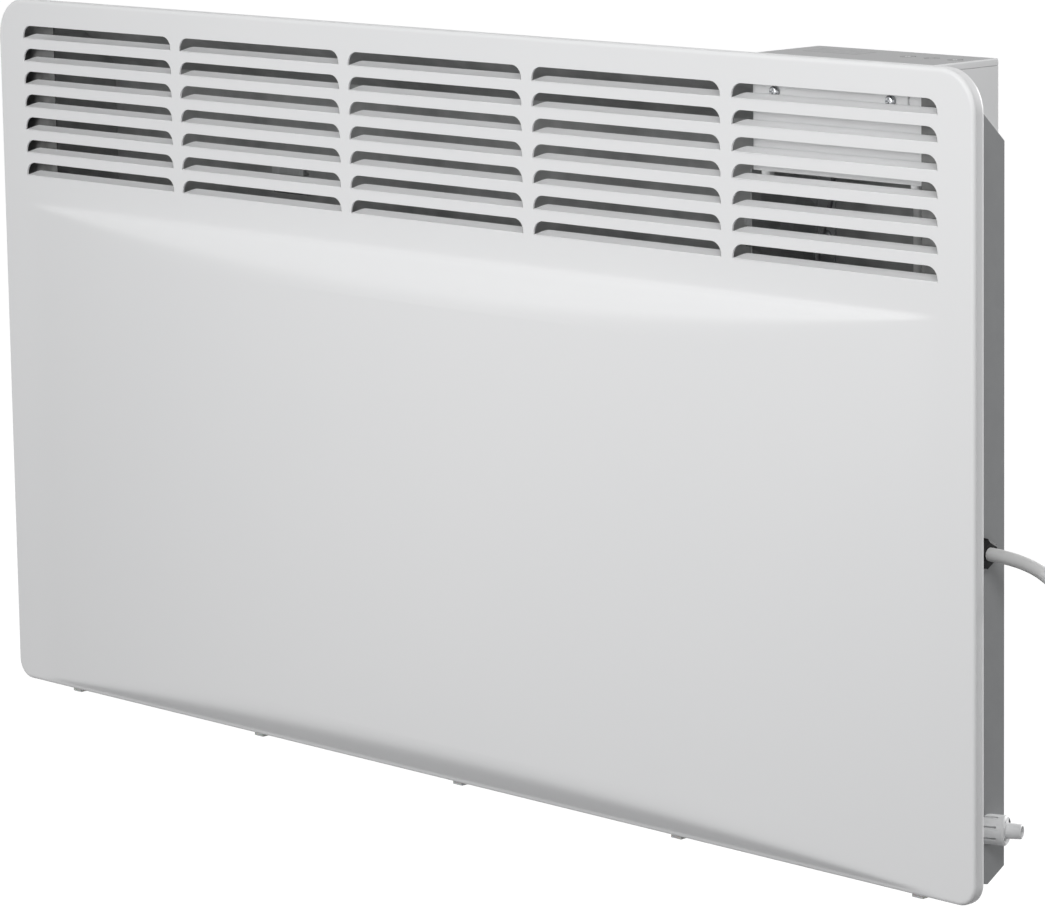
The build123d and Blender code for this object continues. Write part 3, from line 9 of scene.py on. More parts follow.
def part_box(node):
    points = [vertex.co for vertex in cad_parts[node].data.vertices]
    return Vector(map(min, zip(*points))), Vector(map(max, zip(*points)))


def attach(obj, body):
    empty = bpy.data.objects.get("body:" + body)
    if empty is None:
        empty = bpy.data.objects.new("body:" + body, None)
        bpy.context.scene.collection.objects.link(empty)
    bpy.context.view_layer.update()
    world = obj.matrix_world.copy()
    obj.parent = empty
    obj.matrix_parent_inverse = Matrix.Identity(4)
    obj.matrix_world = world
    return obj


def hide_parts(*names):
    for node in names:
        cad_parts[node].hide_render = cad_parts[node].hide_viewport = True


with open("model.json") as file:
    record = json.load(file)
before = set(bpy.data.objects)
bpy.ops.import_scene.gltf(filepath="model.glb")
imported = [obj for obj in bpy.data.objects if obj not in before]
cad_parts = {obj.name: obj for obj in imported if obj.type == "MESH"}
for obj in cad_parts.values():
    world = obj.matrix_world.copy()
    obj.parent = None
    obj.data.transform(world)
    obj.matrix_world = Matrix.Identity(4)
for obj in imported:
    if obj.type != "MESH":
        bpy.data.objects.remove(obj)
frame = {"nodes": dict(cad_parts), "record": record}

# Wall panel convector heater. Metres, X to the right, Y to the wall, Z up.
# Each piece's values stand in a dictionary beside the code that uses them.

bpy.ops.object.select_all(action="DESELECT")
bpy.context.scene.view_settings.view_transform = "Standard"
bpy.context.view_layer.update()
print("frame loaded:", len(frame["nodes"]), "nodes")

# the photograph's view, found from the panel's corners and slots
photoView = {
    "place": (1.7060, -1.6440, 0.4281),
    "yaw": -46.380,
    "pitch": -8.799,
    "roll": -0.890,
    "lens": 158.20,
    "sensor": 36.0,
    "shift": -0.102,
}


def placeCamera(view):
    camera = bpy.data.objects.new("photoCamera", bpy.data.cameras.new("photoCamera"))
    bpy.context.scene.collection.objects.link(camera)
    camera.data.lens = view["lens"]
    camera.data.sensor_width = view["sensor"]
    camera.data.sensor_fit = "HORIZONTAL"
    camera.data.shift_y = view["shift"]
    camera.data.clip_start = 0.05
    camera.data.clip_end = 60.0
    heading = Matrix.Rotation(math.radians(-view["yaw"]), 4, "Z")
    tilt = Matrix.Rotation(math.radians(90 + view["pitch"]), 4, "X")
    lean = Matrix.Rotation(math.radians(view["roll"]), 4, "Z")
    camera.matrix_world = Matrix.Translation(view["place"]) @ heading @ tilt @ lean
    bpy.context.scene.camera = camera


placeCamera(photoView)


# ---- shader maths as plain expressions
class Value:
    def __init__(self, finish, socket):
        self.finish = finish
        self.socket = socket

    def maths(self, operation, first, second):
        return self.finish.maths(operation, first, second)

    def __add__(self, other):
        return self.maths("ADD", self, other)

    __radd__ = __add__

    def __sub__(self, other):
        return self.maths("SUBTRACT", self, other)

    def __mul__(self, other):
        return self.maths("MULTIPLY", self, other)

    __rmul__ = __mul__

    def __gt__(self, other):
        return self.maths("GREATER_THAN", self, other)

    # a number > a Value comes here too, with its sides swapped
    def __lt__(self, other):
        return self.maths("LESS_THAN", self, other)


class Finish:
    def __init__(self, holder):
        holder.use_nodes = True
        self.tree = holder.node_tree
        self.tree.nodes.clear()

    # one way to add any node: its settings first, then its sockets' values or links
    def node(self, kind, settings, sockets, output=0):
        made = self.tree.nodes.new(kind)
        for name, setting in settings.items():
            if name == "stops":
                while len(made.color_ramp.elements) < len(setting):
                    made.color_ramp.elements.new(0.5)
                for element, (place, colour) in zip(made.color_ramp.elements, setting):
                    element.position = place
                    element.color = colour
            else:
                setattr(made, name, setting)
        for name, value in sockets.items():
            if isinstance(value, Value):
                self.tree.links.new(value.socket, made.inputs[name])
            else:
                made.inputs[name].default_value = value
        return Value(self, made.outputs[output]) if made.outputs else made

    def maths(self, operation, first, second=0.0):
        return self.node("ShaderNodeMath", {"operation": operation}, {0: first, 1: second})

    def place(self):
        return self.node("ShaderNodeTexCoord", {}, {}, "Object")

    def noise(self, scale, detail=2.0, stretch=(1.0, 1.0, 1.0)):
        place = self.node("ShaderNodeMapping", {}, {"Vector": self.place(), "Scale": stretch})
        return self.node("ShaderNodeTexNoise", {}, {"Vector": place, "Scale": scale, "Detail": detail}, "Fac")

    def ramp(self, value, low, high, start=0.35, end=0.65):
        stops = [(start, (low, low, low, 1.0)), (end, (high, high, high, 1.0))]
        return self.node("ShaderNodeValToRGB", {"stops": stops}, {"Fac": value}, "Color")

    def mix(self, share, first, second):
        return self.node("ShaderNodeMix", {"data_type": "RGBA"}, {0: share, 6: first, 7: second}, 2)

    def bump(self, height, strength, distance, under=None):
        sockets = {"Strength": strength, "Distance": distance, "Height": height}
        if under:
            sockets["Normal"] = under
        return self.node("ShaderNodeBump", {}, sockets, "Normal")

    def surface(self, sockets):
        shader = self.node("ShaderNodeBsdfPrincipled", {}, sockets, "BSDF")
        self.node("ShaderNodeOutputMaterial", {}, {"Surface": shader})


def newFinish(name):
    material = bpy.data.materials.new(name)
    return material, Finish(material)


# ---- finishes
def powderCoat(name, values):
    material, finish = newFinish(name)
    peel = finish.noise(values["peelScale"], 1.0)
    grain = finish.noise(values["grainScale"], 2.0)
    cloud = finish.noise(values["cloudScale"], 3.0)
    tone = finish.mix(finish.ramp(cloud, 0.0, 1.0), values["dark"], values["light"])
    finish.surface({
        "Base Color": tone,
        "Roughness": finish.ramp(grain, values["rough"] - 0.04, values["rough"] + 0.05),
        "Normal": finish.bump(grain * 0.35 + peel, values["peel"], values["peelDepth"]),
        "Specular IOR Level": 0.5,
    })
    return material


def mouldedPlastic(name, values):
    material, finish = newFinish(name)
    spark = finish.noise(values["sparkScale"], 2.0)
    cloud = finish.noise(values["cloudScale"], 2.0)
    tone = finish.mix(finish.ramp(cloud, 0.0, 1.0), values["dark"], values["light"])
    finish.surface({
        "Base Color": tone,
        "Roughness": finish.ramp(spark, values["rough"] - 0.05, values["rough"] + 0.05),
        "Normal": finish.bump(spark, values["spark"], 0.00006),
        "Specular IOR Level": values.get("gloss", 0.5),
        "Subsurface Weight": values.get("soft", 0.0),
        "Subsurface Scale": 0.002,
    })
    return material


def zincSheet(name, values):
    material, finish = newFinish(name)
    place = finish.place()
    cells = finish.node("ShaderNodeTexVoronoi", {"feature": "F1"},
                        {"Vector": place, "Scale": values["spangleScale"], "Randomness": 1.0}, "Color")
    spangle = finish.node("ShaderNodeSeparateColor", {}, {"Color": cells}, "Red")
    rolled = finish.noise(values["rolledScale"], 4.0, values["rolledWay"])
    mottle = spangle * values["spangle"] + rolled * (1 - values["spangle"])
    tone = finish.mix(finish.ramp(mottle, 0.0, 1.0, 0.2, 0.8), values["dark"], values["light"])
    finish.surface({
        "Base Color": tone,
        "Metallic": values["metal"],
        "Roughness": finish.ramp(mottle, values["rough"] - 0.06, values["rough"] + 0.08, 0.2, 0.8),
        "Normal": finish.bump(rolled, 0.15, 0.00004),
    })
    return material


def casingSheet(name, values):
    material, finish = newFinish(name)
    place = finish.place()
    across = finish.node("ShaderNodeSeparateXYZ", {}, {"Vector": place}, "X")
    deep = finish.node("ShaderNodeSeparateXYZ", {}, {"Vector": place}, "Y")
    side = finish.maths("ABSOLUTE", across)
    bare = (values["insideX"] > side) * (values["insideY"] > deep)
    # painted shade: the baffles and flanges in front of baffleY sit in the shade behind the panel, and their
    # near-black colour paints that shade in
    shadedBaffle = values["baffleY"] > deep
    rolled = finish.noise(values["rolledScale"], 4.0, values["rolledWay"])
    cloud = finish.noise(values["cloudScale"], 2.0)
    mottle = rolled * 0.5 + cloud * 0.5
    painted = finish.mix(finish.ramp(mottle, 0.0, 1.0), values["dark"], values["light"])
    plain = finish.mix(finish.ramp(mottle, 0.0, 1.0), values["bareDark"], values["bareLight"])
    paintedBaffleShade = finish.mix(finish.ramp(cloud, 0.0, 1.0), values["baffleShadeDark"], values["baffleShadeLight"])
    finish.surface({
        "Base Color": finish.mix(shadedBaffle, finish.mix(bare, painted, plain), paintedBaffleShade),
        "Metallic": bare * values["bareMetal"],
        "Roughness": finish.ramp(mottle, values["rough"] - 0.05, values["rough"] + 0.06),
        "Normal": finish.bump(rolled, 0.12, 0.00004),
    })
    return material


def brightMetal(name, values):
    material, finish = newFinish(name)
    scratch = finish.noise(values["scratchScale"], 3.0, values["way"])
    finish.surface({
        "Base Color": finish.mix(scratch, values["dark"], values["light"]),
        "Metallic": 1.0,
        "Roughness": finish.ramp(scratch, values["rough"], values["rough"] + 0.12),
        "Normal": finish.bump(scratch, 0.1, 0.00003),
    })
    return material


def membrane(name, values):
    material, finish = newFinish(name)
    fleck = finish.noise(values["fleckScale"], 1.0)
    finish.surface({
        "Base Color": finish.mix(finish.ramp(fleck, 0.0, 1.0), values["dark"], values["light"]),
        "Roughness": finish.ramp(fleck, values["smooth"], values["rough"]),
        "Normal": finish.bump(fleck, values["fleck"], values["fleckDepth"]),
    })
    return material


def smokedWindow(name, values):
    material, finish = newFinish(name)
    film = finish.noise(values["filmScale"], 2.0)
    finish.surface({
        "Base Color": finish.mix(film, values["dark"], values["light"]),
        "Roughness": finish.ramp(film, values["smooth"], values["rough"]),
        "Normal": finish.bump(film, values["film"], values["filmDepth"]),
    })
    return material


def circuitBoard(name, values):
    material, finish = newFinish(name)
    place = finish.place()
    bricks = {"Vector": place, "Scale": values["trackScale"], "Mortar Size": values["trackGap"]}
    tracks = finish.node("ShaderNodeTexBrick", {"offset": values["trackShift"]}, bricks, "Fac")
    weave = finish.noise(values["weaveScale"], 1.0)
    finish.surface({
        "Base Color": finish.mix(tracks, values["dark"], values["light"]),
        "Roughness": finish.ramp(weave, values["smooth"], values["rough"]),
        "Normal": finish.bump(tracks, values["track"], values["trackDepth"]),
    })
    return material


def castCeramic(name, values):
    material, finish = newFinish(name)
    pores = finish.noise(values["poreScale"], 3.0)
    finish.surface({
        "Base Color": finish.mix(pores, values["dark"], values["light"]),
        "Roughness": finish.ramp(pores, values["smooth"], values["rough"]),
        "Normal": finish.bump(pores, values["pore"], values["poreDepth"]),
    })
    return material


finishes = {
    "white_enamel": powderCoat("whiteEnamel", {
        "dark": (0.785, 0.79, 0.797, 1.0), "light": (0.80, 0.803, 0.808, 1.0), "rough": 0.46,
        "peelScale": 420.0, "grainScale": 1900.0, "cloudScale": 3.0, "peel": 0.10, "peelDepth": 0.0001}),
    "grey_enamel": casingSheet("casingSheet", {
        "dark": (0.255, 0.26, 0.265, 1.0), "light": (0.285, 0.29, 0.295, 1.0), "rough": 0.5,
        "bareDark": (0.34, 0.345, 0.345, 1.0), "bareLight": (0.46, 0.465, 0.465, 1.0), "bareMetal": 0.1,
        # the baffle colours are painted shade for the gap behind the panel
        "baffleShadeDark": (0.10, 0.102, 0.10, 1.0), "baffleShadeLight": (0.20, 0.202, 0.20, 1.0),
        "rolledScale": 60.0, "rolledWay": (1.0, 1.0, 0.15), "cloudScale": 90.0,
        "insideX": 0.3274, "insideY": -0.0206, "baffleY": -0.0688}),
    "pale_plastic": mouldedPlastic("palePlastic", {
        "dark": (0.78, 0.785, 0.79, 1.0), "light": (0.81, 0.815, 0.82, 1.0), "rough": 0.46,
        "sparkScale": 2600.0, "cloudScale": 12.0, "spark": 0.16}),
    "clip_plastic": mouldedPlastic("clipPlastic", {
        "dark": (0.74, 0.74, 0.725, 1.0), "light": (0.79, 0.79, 0.775, 1.0), "rough": 0.42,
        "sparkScale": 1800.0, "cloudScale": 40.0, "spark": 0.08, "soft": 0.15}),
    "dark_inlay": membrane("greyMembrane", {
        "dark": (0.27, 0.272, 0.278, 1.0), "light": (0.32, 0.322, 0.328, 1.0), "smooth": 0.36, "rough": 0.5,
        "fleckScale": 2200.0, "fleck": 0.12, "fleckDepth": 0.00004}),
    "window": smokedWindow("smokedWindow", {
        "dark": (0.20, 0.202, 0.208, 1.0), "light": (0.24, 0.242, 0.248, 1.0), "smooth": 0.34, "rough": 0.42,
        "filmScale": 300.0, "film": 0.05, "filmDepth": 0.00003}),
    "button_plastic": mouldedPlastic("buttonPlastic", {
        "dark": (0.16, 0.16, 0.165, 1.0), "light": (0.19, 0.19, 0.196, 1.0), "rough": 0.4,
        "sparkScale": 3000.0, "cloudScale": 60.0, "spark": 0.1}),
    "zinc": brightMetal("brightZinc", {
        "dark": (0.36, 0.37, 0.39, 1.0), "light": (0.60, 0.61, 0.62, 1.0), "rough": 0.14,
        "scratchScale": 900.0, "way": (1.0, 1.0, 1.0)}),
    "fin_aluminium": brightMetal("finAluminium", {
        "dark": (0.55, 0.555, 0.56, 1.0), "light": (0.72, 0.725, 0.73, 1.0), "rough": 0.34,
        "scratchScale": 900.0, "way": (0.02, 1.0, 1.0)}),
    "steatite": castCeramic("steatite", {
        "dark": (0.55, 0.5, 0.4, 1.0), "light": (0.72, 0.67, 0.56, 1.0), "smooth": 0.55, "rough": 0.75,
        "poreScale": 1200.0, "pore": 0.25, "poreDepth": 0.0001}),
    "board": circuitBoard("circuitBoard", {
        "dark": (0.012, 0.085, 0.035, 1.0), "light": (0.03, 0.16, 0.07, 1.0), "smooth": 0.3, "rough": 0.42,
        "trackScale": 190.0, "trackGap": 0.03, "trackShift": 0.37, "track": 0.2, "trackDepth": 0.00005,
        "weaveScale": 2500.0}),
    "dark_parts": mouldedPlastic("darkParts", {
        "dark": (0.02, 0.02, 0.022, 1.0), "light": (0.035, 0.035, 0.037, 1.0), "rough": 0.42,
        "sparkScale": 2200.0, "cloudScale": 50.0, "spark": 0.12}),
    "grommet_black": mouldedPlastic("grommetBlack", {
        "dark": (0.008, 0.008, 0.009, 1.0), "light": (0.014, 0.014, 0.015, 1.0), "rough": 0.55,
        "sparkScale": 2400.0, "cloudScale": 50.0, "spark": 0.12, "gloss": 0.15}),
    "cord_grey": mouldedPlastic("cordGrey", {
        "dark": (0.71, 0.71, 0.705, 1.0), "light": (0.75, 0.75, 0.745, 1.0), "rough": 0.44,
        "sparkScale": 1500.0, "cloudScale": 30.0, "spark": 0.08}),
    "wire_sleeve": mouldedPlastic("wireSleeve", {
        "dark": (0.16, 0.16, 0.165, 1.0), "light": (0.24, 0.24, 0.245, 1.0), "rough": 0.65,
        "sparkScale": 1500.0, "cloudScale": 400.0, "spark": 0.3}),
    "bead_grey": mouldedPlastic("beadGrey", {
        "dark": (0.34, 0.34, 0.348, 1.0), "light": (0.42, 0.42, 0.43, 1.0), "rough": 0.5,
        "sparkScale": 1800.0, "cloudScale": 300.0, "spark": 0.15}),
    "pin_metal": brightMetal("pinNickel", {
        "dark": (0.66, 0.65, 0.62, 1.0), "light": (0.84, 0.83, 0.80, 1.0), "rough": 0.12,
        "scratchScale": 1200.0, "way": (1.0, 1.0, 0.1)}),
    "bracket_zinc": zincSheet("bracketZinc", {
        "dark": (0.46, 0.47, 0.475, 1.0), "light": (0.62, 0.63, 0.635, 1.0), "rough": 0.4, "metal": 0.6,
        "spangle": 0.55, "spangleScale": 130.0, "rolledScale": 50.0, "rolledWay": (1.0, 1.0, 0.12)}),
    "rubber_pad": mouldedPlastic("rubberPad", {
        "dark": (0.015, 0.015, 0.015, 1.0), "light": (0.03, 0.03, 0.03, 1.0), "rough": 0.7,
        "sparkScale": 900.0, "cloudScale": 60.0, "spark": 0.3}),
}
print("finishes made:", len(finishes))

# ---- floor, air and lamps
studio = {
    "floorZ": -0.62,
    "floorSize": 30.0,
    "floorTone": (0.22, 0.22, 0.224, 1.0),
    "floorShown": 0.95,
    "air": 0.34,
    "lamps": [
        # name, place, aim, size, watts
        ("keyLamp", (-0.08, -1.15, 0.41), (0.0, -0.08, 0.05), 0.7, 7.3),
        ("sideLamp", (0.98, -0.62, 0.74), (0.32, -0.06, 0.06), 0.45, 4.6),
        ("backLamp", (0.50, 2.1, 0.6), (0.2, 0.0, 0.05), 0.9, 32.0),
    ],
}


def buildStudio(values):
    floorFinish, finish = newFinish("paleFloor")
    path = "ShaderNodeLightPath"
    shown = finish.node(path, {}, {}, "Is Camera Ray") + finish.node(path, {}, {}, "Is Glossy Ray")
    shown = shown + finish.node(path, {}, {}, "Is Transmission Ray")
    matt = finish.node("ShaderNodeBsdfDiffuse", {}, {"Color": values["floorTone"]})
    glow = finish.node("ShaderNodeEmission", {}, {"Strength": shown * values["floorShown"]})
    both = finish.node("ShaderNodeAddShader", {}, {0: matt, 1: glow})
    finish.node("ShaderNodeOutputMaterial", {}, {"Surface": both})
    bpy.ops.mesh.primitive_plane_add(size=values["floorSize"], location=(0, 0, values["floorZ"]))
    floor = bpy.context.object
    floor.name = "studioFloor"
    floor.data.materials.append(floorFinish)

    world = bpy.data.worlds.new("studioAir")
    bpy.context.scene.world = world
    air = Finish(world)
    seen = air.node(path, {}, {}, "Is Camera Ray") + air.node(path, {}, {}, "Is Glossy Ray")
    seen = seen + air.node(path, {}, {}, "Is Transmission Ray")
    level = seen * (1 - values["air"]) + values["air"]
    back = air.node("ShaderNodeBackground", {}, {"Color": (1.0, 1.0, 1.0, 1.0), "Strength": level})
    air.node("ShaderNodeOutputWorld", {}, {"Surface": back})

    for name, place, aim, size, watts in values["lamps"]:
        lamp = bpy.data.lights.new(name, "AREA")
        lamp.shape = "DISK"
        lamp.size = size
        lamp.energy = watts
        holder = bpy.data.objects.new(name, lamp)
        bpy.context.scene.collection.objects.link(holder)
        holder.location = place
        holder.rotation_euler = (Vector(aim) - Vector(place)).to_track_quat("-Z", "Y").to_euler()


buildStudio(studio)
print("studio ready")

# ---- mains lead: one line from the grommet, down to a wound coil and on to the plug
lead = {
    "diameter": 0.0065,
    "length": 1.5135,
    "exit": (0.333, -0.036, 0.0025),
    "down": [(0.0, 0.0), (0.020, 0.0), (0.042, -0.009), (0.057, -0.027), (0.065, -0.047), (0.065, -0.063)],
    "tail": [(0.0, 0.0), (0.0, -0.016), (0.0015, -0.034), (0.0022, -0.050), (0.0022, -0.064)],
    "coilRadius": 0.046,
    "coilPitch": 0.0071,
    "halfTurnsIn": 6,
    "halfTurnsOut": 5,
    "straight": 0.0065,
    "perHalfTurn": 8,
}


def leadRoute(values):
    x0, y0, z0 = values["exit"]
    points = [(x0 + x, y0, z0 + z) for x, z in values["down"]]
    pitch = values["coilPitch"]
    radii = [values["coilRadius"] - i * pitch / 2 for i in range(values["halfTurnsIn"] + 1)]
    radii += [radii[-1] + (i + 1) * pitch / 2 for i in range(values["halfTurnsOut"])]
    count = values["perHalfTurn"]
    drawnIn = 0.75 + 0.25 * math.cos(math.pi / count)  # the line passes this much inside its points
    startX, y, topZ = points[-1]
    coilZ = topZ - values["straight"]
    for turn, radius in enumerate(radii):
        way = 1 if turn % 2 == 0 else -1
        rise = pitch if turn == values["halfTurnsIn"] else 0.0
        half = math.sqrt(radius ** 2 - (rise / 2) ** 2)
        wide = radius / drawnIn
        for step in range(count):
            angle = math.pi * (step + 0.5) / count
            points.append((
                startX + way * (half - wide * math.cos(angle)),
                y + rise / 2 - rise / 2 * math.cos(angle),
                coilZ - way * wide * math.sin(angle),
            ))
        startX += way * 2 * half
        y += rise
    end = (startX, y, coilZ - values["straight"])
    points += [(end[0] + x, end[1], end[2] + z) for x, z in values["tail"]]
    return points


def buildLead(values):
    points = leadRoute(values)
    curve = bpy.data.curves.new("mainsLeadLine", "CURVE")
    curve.dimensions = "3D"
    spline = curve.splines.new("NURBS")
    spline.points.add(len(points) - 1)
    for point, place in zip(spline.points, points):
        point.co = (*place, 1.0)
    spline.order_u = 3
    spline.use_endpoint_u = True
    spline.resolution_u = 6
    curve.bevel_depth = values["diameter"] / 2
    curve.bevel_resolution = 5
    curve.use_fill_caps = True
    piece = bpy.data.objects.new("mains_lead_cable", curve)
    bpy.context.scene.collection.objects.link(piece)
    curve.materials.append(finishes["cord_grey"])
    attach(piece, "heater")
    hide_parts("mains_lead", "lead_coil", "plug_tail")
    return piece


leadPiece = buildLead(lead)
print("mains lead laid")


# ---- shared modelling steps
def onlySelect(piece):
    bpy.ops.object.select_all(action="DESELECT")
    piece.select_set(True)
    bpy.context.view_layer.objects.active = piece


def settle(piece, body, slot, *nodes):
    if not piece.data.materials:
        piece.data.materials.append(finishes[slot])
    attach(piece, body)
    if nodes:
        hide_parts(*nodes)
    return piece


def applyAll(piece):
    onlySelect(piece)
    for modifier in list(piece.modifiers):
        bpy.ops.object.modifier_apply(modifier=modifier.name)


def softenEdges(piece, width, segments=2, sharpest=32.0):
    onlySelect(piece)
    bevel = piece.modifiers.new("edges", "BEVEL")
    bevel.width = width
    bevel.segments = segments
    bevel.limit_method = "ANGLE"
    bevel.angle_limit = math.radians(sharpest)
    bevel.harden_normals = False
    bevel.miter_outer = "MITER_ARC"
    applyAll(piece)
    bpy.ops.object.shade_smooth_by_angle(angle=math.radians(40))
    weighted = piece.modifiers.new("normals", "WEIGHTED_NORMAL")
    weighted.keep_sharp = True
    weighted.weight = 60
    applyAll(piece)


# ---- front panel: one pressed and punched sheet
panelSheet = {
    "corner": 0.0205, "lowerCorner": 0.0105, "roll": 0.0020, "support": 0.0008,
    "rim": 0.008, "rearRoll": 0.0028, "hem": 0.005, "thickness": 0.001, "edge": 0.00022,
    "bowHalf": 0.331, "bowDepth": 0.013, "bowTop": 0.274, "bowFoot": 0.0025,
    "upperCrescent": 0.0165, "lowerCrescent": 0.013, "foldSharpness": 5.0, "endBlend": 0.0006,
    "columns": 5, "rows": 7, "columnPitch": 0.1364, "rowPitch": 0.01278,
    "slotWidth": 0.1291, "slotHeight": 0.007, "slotRound": 0.0064, "topMargin": 0.0145,
    "bend": 0.0004, "flapRise": 6.0, "tipRise": 36.0,
    "flapLength": 0.0064, "flapInset": 0.0003, "flapRound": 0.0056,
}


def bowHeight(values, x, z):
    # how far the sheet stands forward at x, and at z above the panel's foot
    half, depth = values["bowHalf"], values["bowDepth"]
    radius = (half ** 2 + depth ** 2) / (2 * depth)
    arc = math.sqrt(radius ** 2 - min(abs(x), half * 1.2) ** 2) - (radius - depth)
    blend = values["endBlend"]
    upper = (values["bowTop"] - z) * depth / values["upperCrescent"]
    lower = (z - values["bowFoot"]) * depth / values["lowerCrescent"]
    sides = []
    for side in (arc, upper, lower):
        if side <= -blend:
            return 0.0
        sides.append(side if side >= blend else (side + blend) ** 2 / (4 * blend))
    power = values["foldSharpness"]
    return sum(max(side, 1e-6) ** -power for side in sides) ** (-1 / power)


def spread(start, end, step):
    count = max(1, round(abs(end - start) / step))
    return [start + (end - start) * i / count for i in range(count + 1)]


def buildFrontPanel(values):
    low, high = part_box("front_panel")
    width, height = high.x - low.x, high.z - low.z
    faceY, footZ = high.y - values["rim"], low.z
    corner = values["corner"]
    lowerCorner = values["lowerCorner"]
    innerX, lowerX = width / 2 - corner, width / 2 - lowerCorner
    innerHigh = height - corner
    inset = values["roll"] + values["support"]

    mesh = bmesh.new()
    known = {}

    def skin(x, z):
        key = (round(x * 1e6), round(z * 1e6))
        if key not in known:
            known[key] = mesh.verts.new((x, faceY - bowHeight(values, x, z), footZ + z))
        return known[key]

    def patch(outline):
        corners = []
        for x, z in outline:
            vertex = skin(x, z)
            if vertex not in corners:
                corners.append(vertex)
        mesh.faces.new(corners)

    # louvre field: where the slots and the cells round them stand
    slotWidth, slotHeight, slotRound = values["slotWidth"], values["slotHeight"], values["slotRound"]
    middles = [(i - (values["columns"] - 1) / 2) * values["columnPitch"] for i in range(values["columns"])]
    feet = [height - values["topMargin"] - slotHeight - j * values["rowPitch"] for j in range(values["rows"])]
    bar = values["rowPitch"] - slotHeight
    rise = math.radians(90 - values["flapRise"])
    tangent = values["bend"] * math.tan(rise / 2)
    cellXs = [-innerX] + [(a + b) / 2 for a, b in zip(middles, middles[1:])] + [innerX]
    fieldTop = feet[0] + slotHeight + bar / 2
    fieldFoot = feet[-1] - bar / 2
    turns = [math.pi / 2 * k / 6 for k in range(7)]

    for column, middle in enumerate(middles):
        left, right = cellXs[column], cellXs[column + 1]
        slotLeft, slotRight = middle - slotWidth / 2, middle + slotWidth / 2
        flapLeft, flapRight = slotLeft + values["flapInset"], slotRight - values["flapInset"]
        for foot in feet:
            low2, high2 = foot - bar / 2, foot + slotHeight + bar / 2
            fold, top = foot - tangent, foot + slotHeight
            shoulder = top - slotRound
            arcs = [(slotRound * (1 - math.cos(t)), shoulder + slotRound * math.sin(t)) for t in turns]
            arcLeft = [(slotLeft + x, z) for x, z in arcs]
            arcRight = [(slotRight - x, z) for x, z in arcs]
            patch([(left, low2), (slotLeft, low2), (slotLeft, fold), (left, fold)])
            patch([(slotLeft, low2), (slotLeft + slotRound, low2),
                   (slotRight - slotRound, low2), (slotRight, low2),
                   (slotRight, fold), (flapRight, fold), (flapLeft, fold), (slotLeft, fold)])
            patch([(slotRight, low2), (right, low2), (right, fold), (slotRight, fold)])
            patch([(left, fold), (slotLeft, fold), (slotLeft, shoulder), (left, shoulder)])
            patch([(slotRight, fold), (right, fold), (right, shoulder), (slotRight, shoulder)])
            patch([(left, shoulder)] + arcLeft
                  + [(slotLeft + slotRound, high2), (slotLeft, high2), (left, high2)])
            patch([(slotLeft + slotRound, top), (slotRight - slotRound, top), (slotRight - slotRound, high2),
                   (slotLeft + slotRound, high2)])
            patch([(slotRight - slotRound, high2)] + arcRight[::-1]
                  + [(right, shoulder), (right, high2), (slotRight, high2)])
            # the flap: the slot's own metal, bent in from its foot
            ring = [skin(flapLeft, fold), skin(flapRight, fold)]
            for step in range(1, 5):
                angle = rise * step / 4
                y = faceY + values["bend"] * (1 - math.cos(angle))
                z = footZ + fold + values["bend"] * math.sin(angle)
                grown = [mesh.verts.new((x, y, z)) for x in (flapLeft, flapRight)]
                mesh.faces.new((ring[0], ring[1], grown[1], grown[0]))
                ring = grown
            # and dished up towards its free edge, whose ends are rounded
            reach = values["flapLength"] - tangent
            curve = values["flapRound"]
            along = 0.0
            for turn in turns:
                further = reach - curve + curve * math.sin(turn)
                lift = math.radians(values["tipRise"] - values["flapRise"]) * (along + further) / 2 / reach
                y += (further - along) * math.sin(rise - lift)
                z += (further - along) * math.cos(rise - lift)
                along = further
                ends = (flapLeft + curve * (1 - math.cos(turn)), flapRight - curve * (1 - math.cos(turn)))
                grown = [mesh.verts.new((x, y, z)) for x in ends]
                mesh.faces.new((ring[0], ring[1], grown[1], grown[0]))
                ring = grown

    # bowed field
    bowXs = spread(-innerX, innerX, 0.0062)
    foldTop = values["bowTop"] + 0.0022
    foldFoot = values["bowTop"] - values["upperCrescent"] - 0.008
    crescentTop = values["bowFoot"] + values["lowerCrescent"] + 0.008
    bowZs = spread(inset, crescentTop, 0.0012)[:-1] + spread(crescentTop, foldFoot, 0.016)[:-1]
    bowZs += spread(foldFoot, foldTop, 0.0013)
    for z1, z2 in zip(bowZs, bowZs[1:]):
        for x1, x2 in zip(bowXs, bowXs[1:]):
            patch([(x1, z1), (x2, z1), (x2, z2), (x1, z2)])

    # flat strips: under the louvres, over them and down both sides with the corners
    cellLines = set(cellXs)
    for middle in middles:
        for away in (slotWidth / 2, slotWidth / 2 - slotRound):
            cellLines |= {middle - away, middle + away}
    patch([(x, foldTop) for x in bowXs] + [(x, fieldFoot) for x in sorted(cellLines, reverse=True)])
    patch([(x, fieldTop) for x in sorted(cellLines)] + [(innerX, height - inset), (-innerX, height - inset)])
    sideZs = bowZs + [fieldFoot]
    for foot in reversed(feet):
        sideZs += [foot - bar / 2, foot - tangent, foot + slotHeight - slotRound, foot + slotHeight + bar / 2]
    sideZs += [height - inset]
    # rows are a pitch apart, so two cells share each line between them
    sideZs = sorted({round(z, 7) for z in sideZs})
    upperBow, lowerBow = corner - inset, lowerCorner - inset
    arcTurns = [math.pi / 2 * k / 10 for k in range(11)]
    for side in (-1, 1):
        inner = [(side * innerX, z) for z in sideZs]
        upper = [(side * (innerX + upperBow * math.sin(t)), innerHigh + upperBow * math.cos(t))
                 for t in arcTurns[1:]]
        lower = [(side * (lowerX + lowerBow * math.cos(t)), lowerCorner - lowerBow * math.sin(t))
                 for t in arcTurns]
        outline = inner + upper + lower
        patch(outline if side < 0 else outline[::-1])

